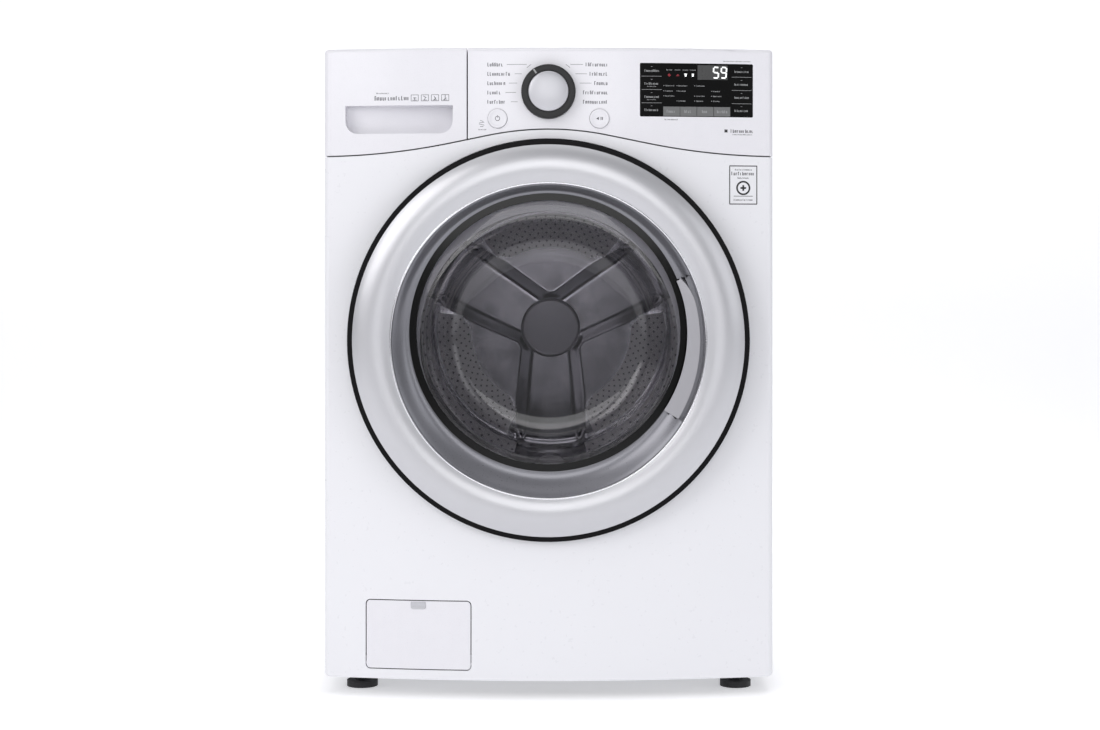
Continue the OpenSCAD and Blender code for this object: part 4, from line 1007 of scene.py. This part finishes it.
class ProgrammeMarks(Maker):
    """Grey programme marks round the knob, their leader lines, and the small symbols beside them"""
    bl_idname = "washer.programme_marks"
    bl_label = "Programme marks"

    def build(self, sizes):
        h = sizes.print_height / MM
        z = (KNOB_LOW.z + KNOB_HIGH.z) / 2 / MM
        rows = [z + 41.7 - 14.1 * i for i in range(5)]
        left, right, lines = (23, 35, 26, 21, 29), (34, 28, 21, 38, 38), []
        prints = []
        for i, row in enumerate(rows):
            prints += word(-92.5, row, left[i], h, 11 + i)
            prints += word(90, row, right[i], h, 29 + i, True)
            reach = math.sqrt(max(49.0 ** 2 - (row - z) ** 2, 30 ** 2)) if abs(row - z) < 38 else 33
            for side, wide in ((-1, left[i]), (1, right[i])):
                a, b = side * reach, side * (90 - wide - 4)
                if abs(b) > abs(a) + 2:
                    lines.append(((a + b) / 2, row, abs(b - a), 0.55))
        for side in (-1, 1):
            lines.append((side * 29.5, rows[0] - 2.4, 8.2, 0.55, side * 38))
        marks("programme_marks", prints, "ink", proud=0.06)
        marks("leader_lines", lines, "ink", proud=0.05)
        dark = word(308, 963.6, 42, 1.7, 5, True) + word(176, 874.2, 21, 2.2, 8) \
            + word(277, 857.5, 34, 5.2, 17) + word(280, 852.2, 30, 1.8, 3) \
            + [(270, 857.5, 2.0, 6.0, 45), (270, 857.5, 6.0, 2.0, 45), (270, 857.5, 4.4, 1.6, 0)]
        marks("fascia_marks", dark, "dark_ink", proud=0.06)
        care = [(-101, 867 + dz, w, 0.7, t) for dz, w,
                t in ((4.5, 5, 20), (2, 8, -10), (-1, 8, 12), (-4, 5, 0))] \
            + word(-106, 858.5, 12, 2.0, 2)
        marks("button_mark", care, "ink", proud=0.06)
        drawer = word(-265, 907, 52, 6.6, 23) + word(-262, 914.5, 20, 2.0, 7)
        for i in range(4):
            x = -203 + i * 15.5
            drawer += [(x, 907 + dz, 11.5, 0.7) for dz in (-4.6, 4.6)] + [(x + dx, 907, 0.7,
                    9.2) for dx in (-5.5, 5.5)]
            drawer += [(x, 907 + (i % 2) * 1.6, 5.5, 0.9, 30 * i), (x, 905.5, 0.9, 4.5, 20 * i),
                       (x, 903.7, 6.5, 0.7)]
        marks("drawer_marks", drawer, "ink", "drawer", proud=0.06)


class DisplayMarks(Maker):
    """Touch keys, lit symbols, two seven segment figures and the grey bar of the display"""
    bl_idname = "washer.display_marks"
    bl_label = "Display"

    def build(self, sizes):
        pale, lit = [], []
        for side, x0, x1 in ((0, 141.5, 171), (1, 279.5, 308.5)):
            for i, z in enumerate((949, 929.5, 909.5, 889.5)):
                pale += word((x0 + x1) / 2 - 11, z - 1, 22 - 2 * (i % 2), 3.4, 31 + i + 5 * side)
                pale.append(((x0 + x1) / 2, z + 5.2, 2.4, 0.5))
                if i in (1, 2) and side == 0:
                    pale += word((x0 + x1) / 2 - 7, z - 5.2, 14, 1.6, 3 + i)
            for z in (939.6, 919.4, 899.2):
                pale.append(((x0 + x1) / 2, z, 31, 0.5))
        for i, x in enumerate((183, 196, 208, 219)):
            pale += word(x - 4.5, 949.5, 9, 1.8, 40 + i)
        for column, x in enumerate((179, 199, 226, 252)):
            for row, z in enumerate((925.5, 917.5, 910, 902.5)):
                if (column + row) % 5 != 3:
                    pale += [(x - 4.2, z, 1.1, 1.1)] + word(x - 2, z, 13 - 2 * (row % 2), 2.0,
                            7 * column + row)
        marks("key_marks", pale, "pale_ink_painted_glow", proud=0.08)
        bar = [(173.6 + 25.8 * (i + 0.5), 886.6, 25.4, 14.2) for i in range(4)]
        marks("grey_bar", bar, "grey_bar", proud=0.06)
        captions = []
        for i, x in enumerate((179, 206, 233, 256)):
            captions += word(x, 886.6, (14, 12, 8, 15)[i], 4.4, 50 + i)
        marks("bar_marks", captions, "pale_ink_painted_glow", proud=0.1)
        marks("lcd_screen", [(249.3, 946, 46.6, 22)], "lcd", proud=0.06)
        for x, segments in ((254.5, "afgcd"), (266.5, "abcdfg")):
            places = {"a": (0, 8, 6.2, 1.9), "g": (0, 0, 6.2, 1.9), "d": (0, -8, 6.2, 1.9),
                      "b": (3.9, 4, 1.9, 6.4),
                      "c": (3.9, -4, 1.9, 6.4), "f": (-3.9, 4, 1.9, 6.4), "e": (-3.9, -4, 1.9, 6.4)}
            for s in segments:
                dx, dz, w, h = places[s]
                lit.append((x + dx + dz * 0.06, 946 + dz, w, h, 3.5))
        for x, kind in ((208, 0), (219, 1)):
            lit += [(x, 941.2, 2.6, 3.2), (x, 943.4, 4.2 - kind, 0.9)]
        marks("lit_figures", lit, "glow", proud=0.32)
        marks("lit_symbols", [(183, 941.5, 4.2, 1.4, 0), (183, 941.5, 1.4, 4.2, 0),
                              (183, 941.5, 3.6, 1.2, 45),
                              (196, 940.6, 4.4, 0.9), (196, 942.4, 2.6, 0.8)], "red_glow", proud=0.12)


class Badge(Maker):
    """Framed label with a plain ring and bars on the front panel"""
    bl_idname = "washer.badge"
    bl_label = "Label"

    def build(self, sizes):
        x, z, w, h = 296.7, 775.4, 42, 58
        parts = [(x, z + s * h / 2, w + 1.4, 1.5) for s in (-1, 1)] + [(x + s * w / 2, z, 1.5,
                h) for s in (-1, 1)]
        parts += word(x - 13, z + 23.4, 26, 2.4, 6) + word(x - 18.5, z + 17.5, 37, 5.4, 15) + word(x - 9,
                z + 10.8, 18, 2.4, 9)
        for i in range(28):
            a = 2 * math.pi * i / 28
            parts.append((x + 9.6 * math.cos(a), z - 4.5 + 9.6 * math.sin(a), 2.6, 3.6, -math.degrees(a)))
        parts += [(x, z - 4.5, 8.8, 2.8), (x, z - 4.5, 2.8, 8.8), (x, z - 17, 30, 0.8)] + word(x - 15,
                z - 22.6, 30, 2.8, 12)
        marks("front_label", parts, "dark_ink", proud=0.06)


class FilterCover(Maker):
    """Small pull on the filter cover, and a dark strip sunk in the gap round it, a painted shadow standing in
    for the gap's shade
    """
    bl_idname = "washer.filter_cover"
    bl_label = "Filter cover"

    def build(self, sizes):
        low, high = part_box("filter_flap")
        middle, half_w, half_h = (low.x + high.x) / 2, (high.x - low.x) / 2, 51.5 * MM
        centre = high.z - half_h
        pull = start("cover_pull", bpy.ops.mesh.primitive_cube_add, size=1,
                     scale=(23 * MM, 2.6 * MM, 11 * MM))
        bpy.ops.object.transform_apply(location=True, rotation=True, scale=True)
        edit()
        pick(pull, lambda e: abs(e.verts[0].co.y - e.verts[1].co.y) > 1 * MM and e.verts[0].co.z < 0, "edges")
        bpy.ops.mesh.bevel(offset=4 * MM, offset_type="OFFSET", segments=6, profile=0.5, affect="EDGES")
        pick(pull, lambda f: f.normal.y < -0.9, "faces")
        bpy.ops.mesh.inset(thickness=1.6 * MM, depth=-0.7 * MM)
        bpy.ops.object.mode_set(mode="OBJECT")
        modify(pull, "BEVEL", width=0.4 * MM, segments=2, limit_method="ANGLE", angle_limit=math.radians(40))
        pull.data.transform(Matrix.Translation((middle, bow_y(middle) + 0.3 * MM, high.z - 7 * MM))
                            @ Matrix.Rotation(bow_angle(middle), 4, "Z"))
        outward(pull)
        settle(pull, 40)
        dress(pull, "knob_cap")
        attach(pull, "flap")
        # The dark strip round the cover is painted shadow: it stands in for the shade inside the gap.
        gap, corner = 0.75, 6.7
        w, h = half_w / MM + gap, half_h / MM + gap
        gap_shadow_strips = []
        for sx in (-1, 1):
            for sz in (-1, 1):
                for k in range(6):
                    a = math.radians(7.5 + 15 * k)
                    gap_shadow_strips.append((middle / MM + sx * (w - corner + corner * math.cos(a)),
                                 centre / MM + sz * (h - corner + corner * math.sin(a)), 1.3, 2.2,
                                 -math.degrees(a) * sx * sz))
        steps = 24
        for k in range(steps):
            x = middle / MM + (w - corner) * (2 * (k + 0.5) / steps - 1)
            gap_shadow_strips += [(x, centre / MM + s * h, 2 * (w - corner) / steps + 0.2, 1.3) for s in (-1, 1)]
        gap_shadow_strips += [(middle / MM + s * w, centre / MM, 1.3, 2 * (h - corner)) for s in (-1, 1)]
        marks("cover_seal", gap_shadow_strips, "black_rubber", proud=0.4, sunk=1.0)


class Studio(Maker):
    """Pale floor and backdrop, soft lights and the camera"""
    bl_idname = "washer.studio"
    bl_label = "Studio"

    def build(self, sizes):
        sweep = start("studio_floor", bpy.ops.mesh.primitive_plane_add, size=1, location=(0, 0.5, 0),
                      scale=(1, 1, 1))
        for v in sweep.data.vertices:
            v.co.x *= 16
            v.co.y = -6.5 if v.co.y < 0 else 2.6
        edit()
        pick(sweep, lambda e: all(v.co.y > 2 for v in e.verts), "edges")
        for i in range(1, 13):
            a = math.pi / 2 * i / 12
            b = math.pi / 2 * (i - 1) / 12
            bpy.ops.mesh.extrude_region_move(TRANSFORM_OT_translate={
                "value": (0, 1.2 * (math.sin(a) - math.sin(b)), 1.2 * (math.cos(b) - math.cos(a)))})
        bpy.ops.mesh.extrude_region_move(TRANSFORM_OT_translate={"value": (0, 0, 4.5)})
        settle(sweep, 60)
        dress(sweep, "paper")
        aim = Vector((0, 0, 0.5))
        for name, place, wide, watts, tint in (
                ("key_softbox", (-2.3, -3.0, 2.2), 2.2, 40, (1.0, 0.99, 0.99)),
                ("fill_softbox", (2.6, -2.8, 1.5), 1.8, 11, (0.97, 0.98, 1.0)),
                ("front_softbox", (0.0, -4.4, 1.5), 1.6, 20, (1, 1, 1)),
                ("top_softbox", (0.0, -0.6, 3.2), 2.4, 18, (1, 1, 1)),
                ("back_softbox", (0.6, 2.2, 2.6), 2.0, 15, (1, 1, 1))):
            bpy.ops.object.light_add(type="AREA", location=place)
            light = bpy.context.object
            light.name = name
            light.data.shape = "SQUARE"
            light.data.size = wide
            light.data.energy = watts
            light.data.color = tint
            light.rotation_euler = (aim - Vector(place)).to_track_quat("-Z", "Y").to_euler()
        world = bpy.data.worlds.new("pale_studio")
        bpy.context.scene.world = world
        world.use_nodes = True
        world.node_tree.nodes["Background"].inputs["Color"].default_value = linear("#f4f5f8")
        world.node_tree.nodes["Background"].inputs["Strength"].default_value = 0.40
        # How far the camera stands from the panel, and how much of it the view is wide, in metres.
        distance, width, film = 3.0, 1.662, 36
        eye = Vector((0.02, CROWN - distance, DOOR_Z + 0.12))
        centre = Vector((0.0023, CROWN, TOP - 0.4805))
        bpy.ops.object.camera_add(location=eye, rotation=(math.pi / 2, 0, 0))
        camera = bpy.context.object
        camera.name = "camera"
        camera.data.sensor_width = film
        camera.data.lens = film * distance / width
        camera.data.shift_x = (centre.x - eye.x) / width
        camera.data.shift_y = (centre.z - eye.z) / width
        bpy.context.scene.camera = camera
        bpy.context.scene.view_settings.view_transform = "Standard"


STEPS = (DressFrame, Studio, DoorRing, Bezel, Grip, Glass, DrumWall, DrumBack, Lifters, Gasket, Knob, Buttons,
         SoftJoints, ProgrammeMarks, DisplayMarks, Badge, FilterCover)


class WasherPanel(bpy.types.Panel):
    """Sizes, colours and steps of the washing machine"""
    bl_idname = "VIEW3D_PT_washer"
    bl_label = "Front load washer"
    bl_space_type = "VIEW_3D"
    bl_region_type = "UI"
    bl_category = "Washer"

    def draw(self, context):
        for group in (context.scene.washer_sizes, context.scene.washer_colours):
            for name in group.__annotations__:
                self.layout.prop(group, name)
        for step in STEPS:
            self.layout.operator(step.bl_idname)


CLASSES = (WasherSizes, WasherColours) + STEPS + (WasherPanel,)


def register():
    for cls in CLASSES:
        bpy.utils.register_class(cls)
    bpy.types.Scene.washer_sizes = bpy.props.PointerProperty(type=WasherSizes)
    bpy.types.Scene.washer_colours = bpy.props.PointerProperty(type=WasherColours)


def unregister():
    del bpy.types.Scene.washer_colours
    del bpy.types.Scene.washer_sizes
    for cls in reversed(CLASSES):
        bpy.utils.unregister_class(cls)


def build_washer():
    register()
    for step in STEPS:
        group, name = step.bl_idname.split(".")
        getattr(getattr(bpy.ops, group), name)()


if __name__ == "__main__":
    build_washer()
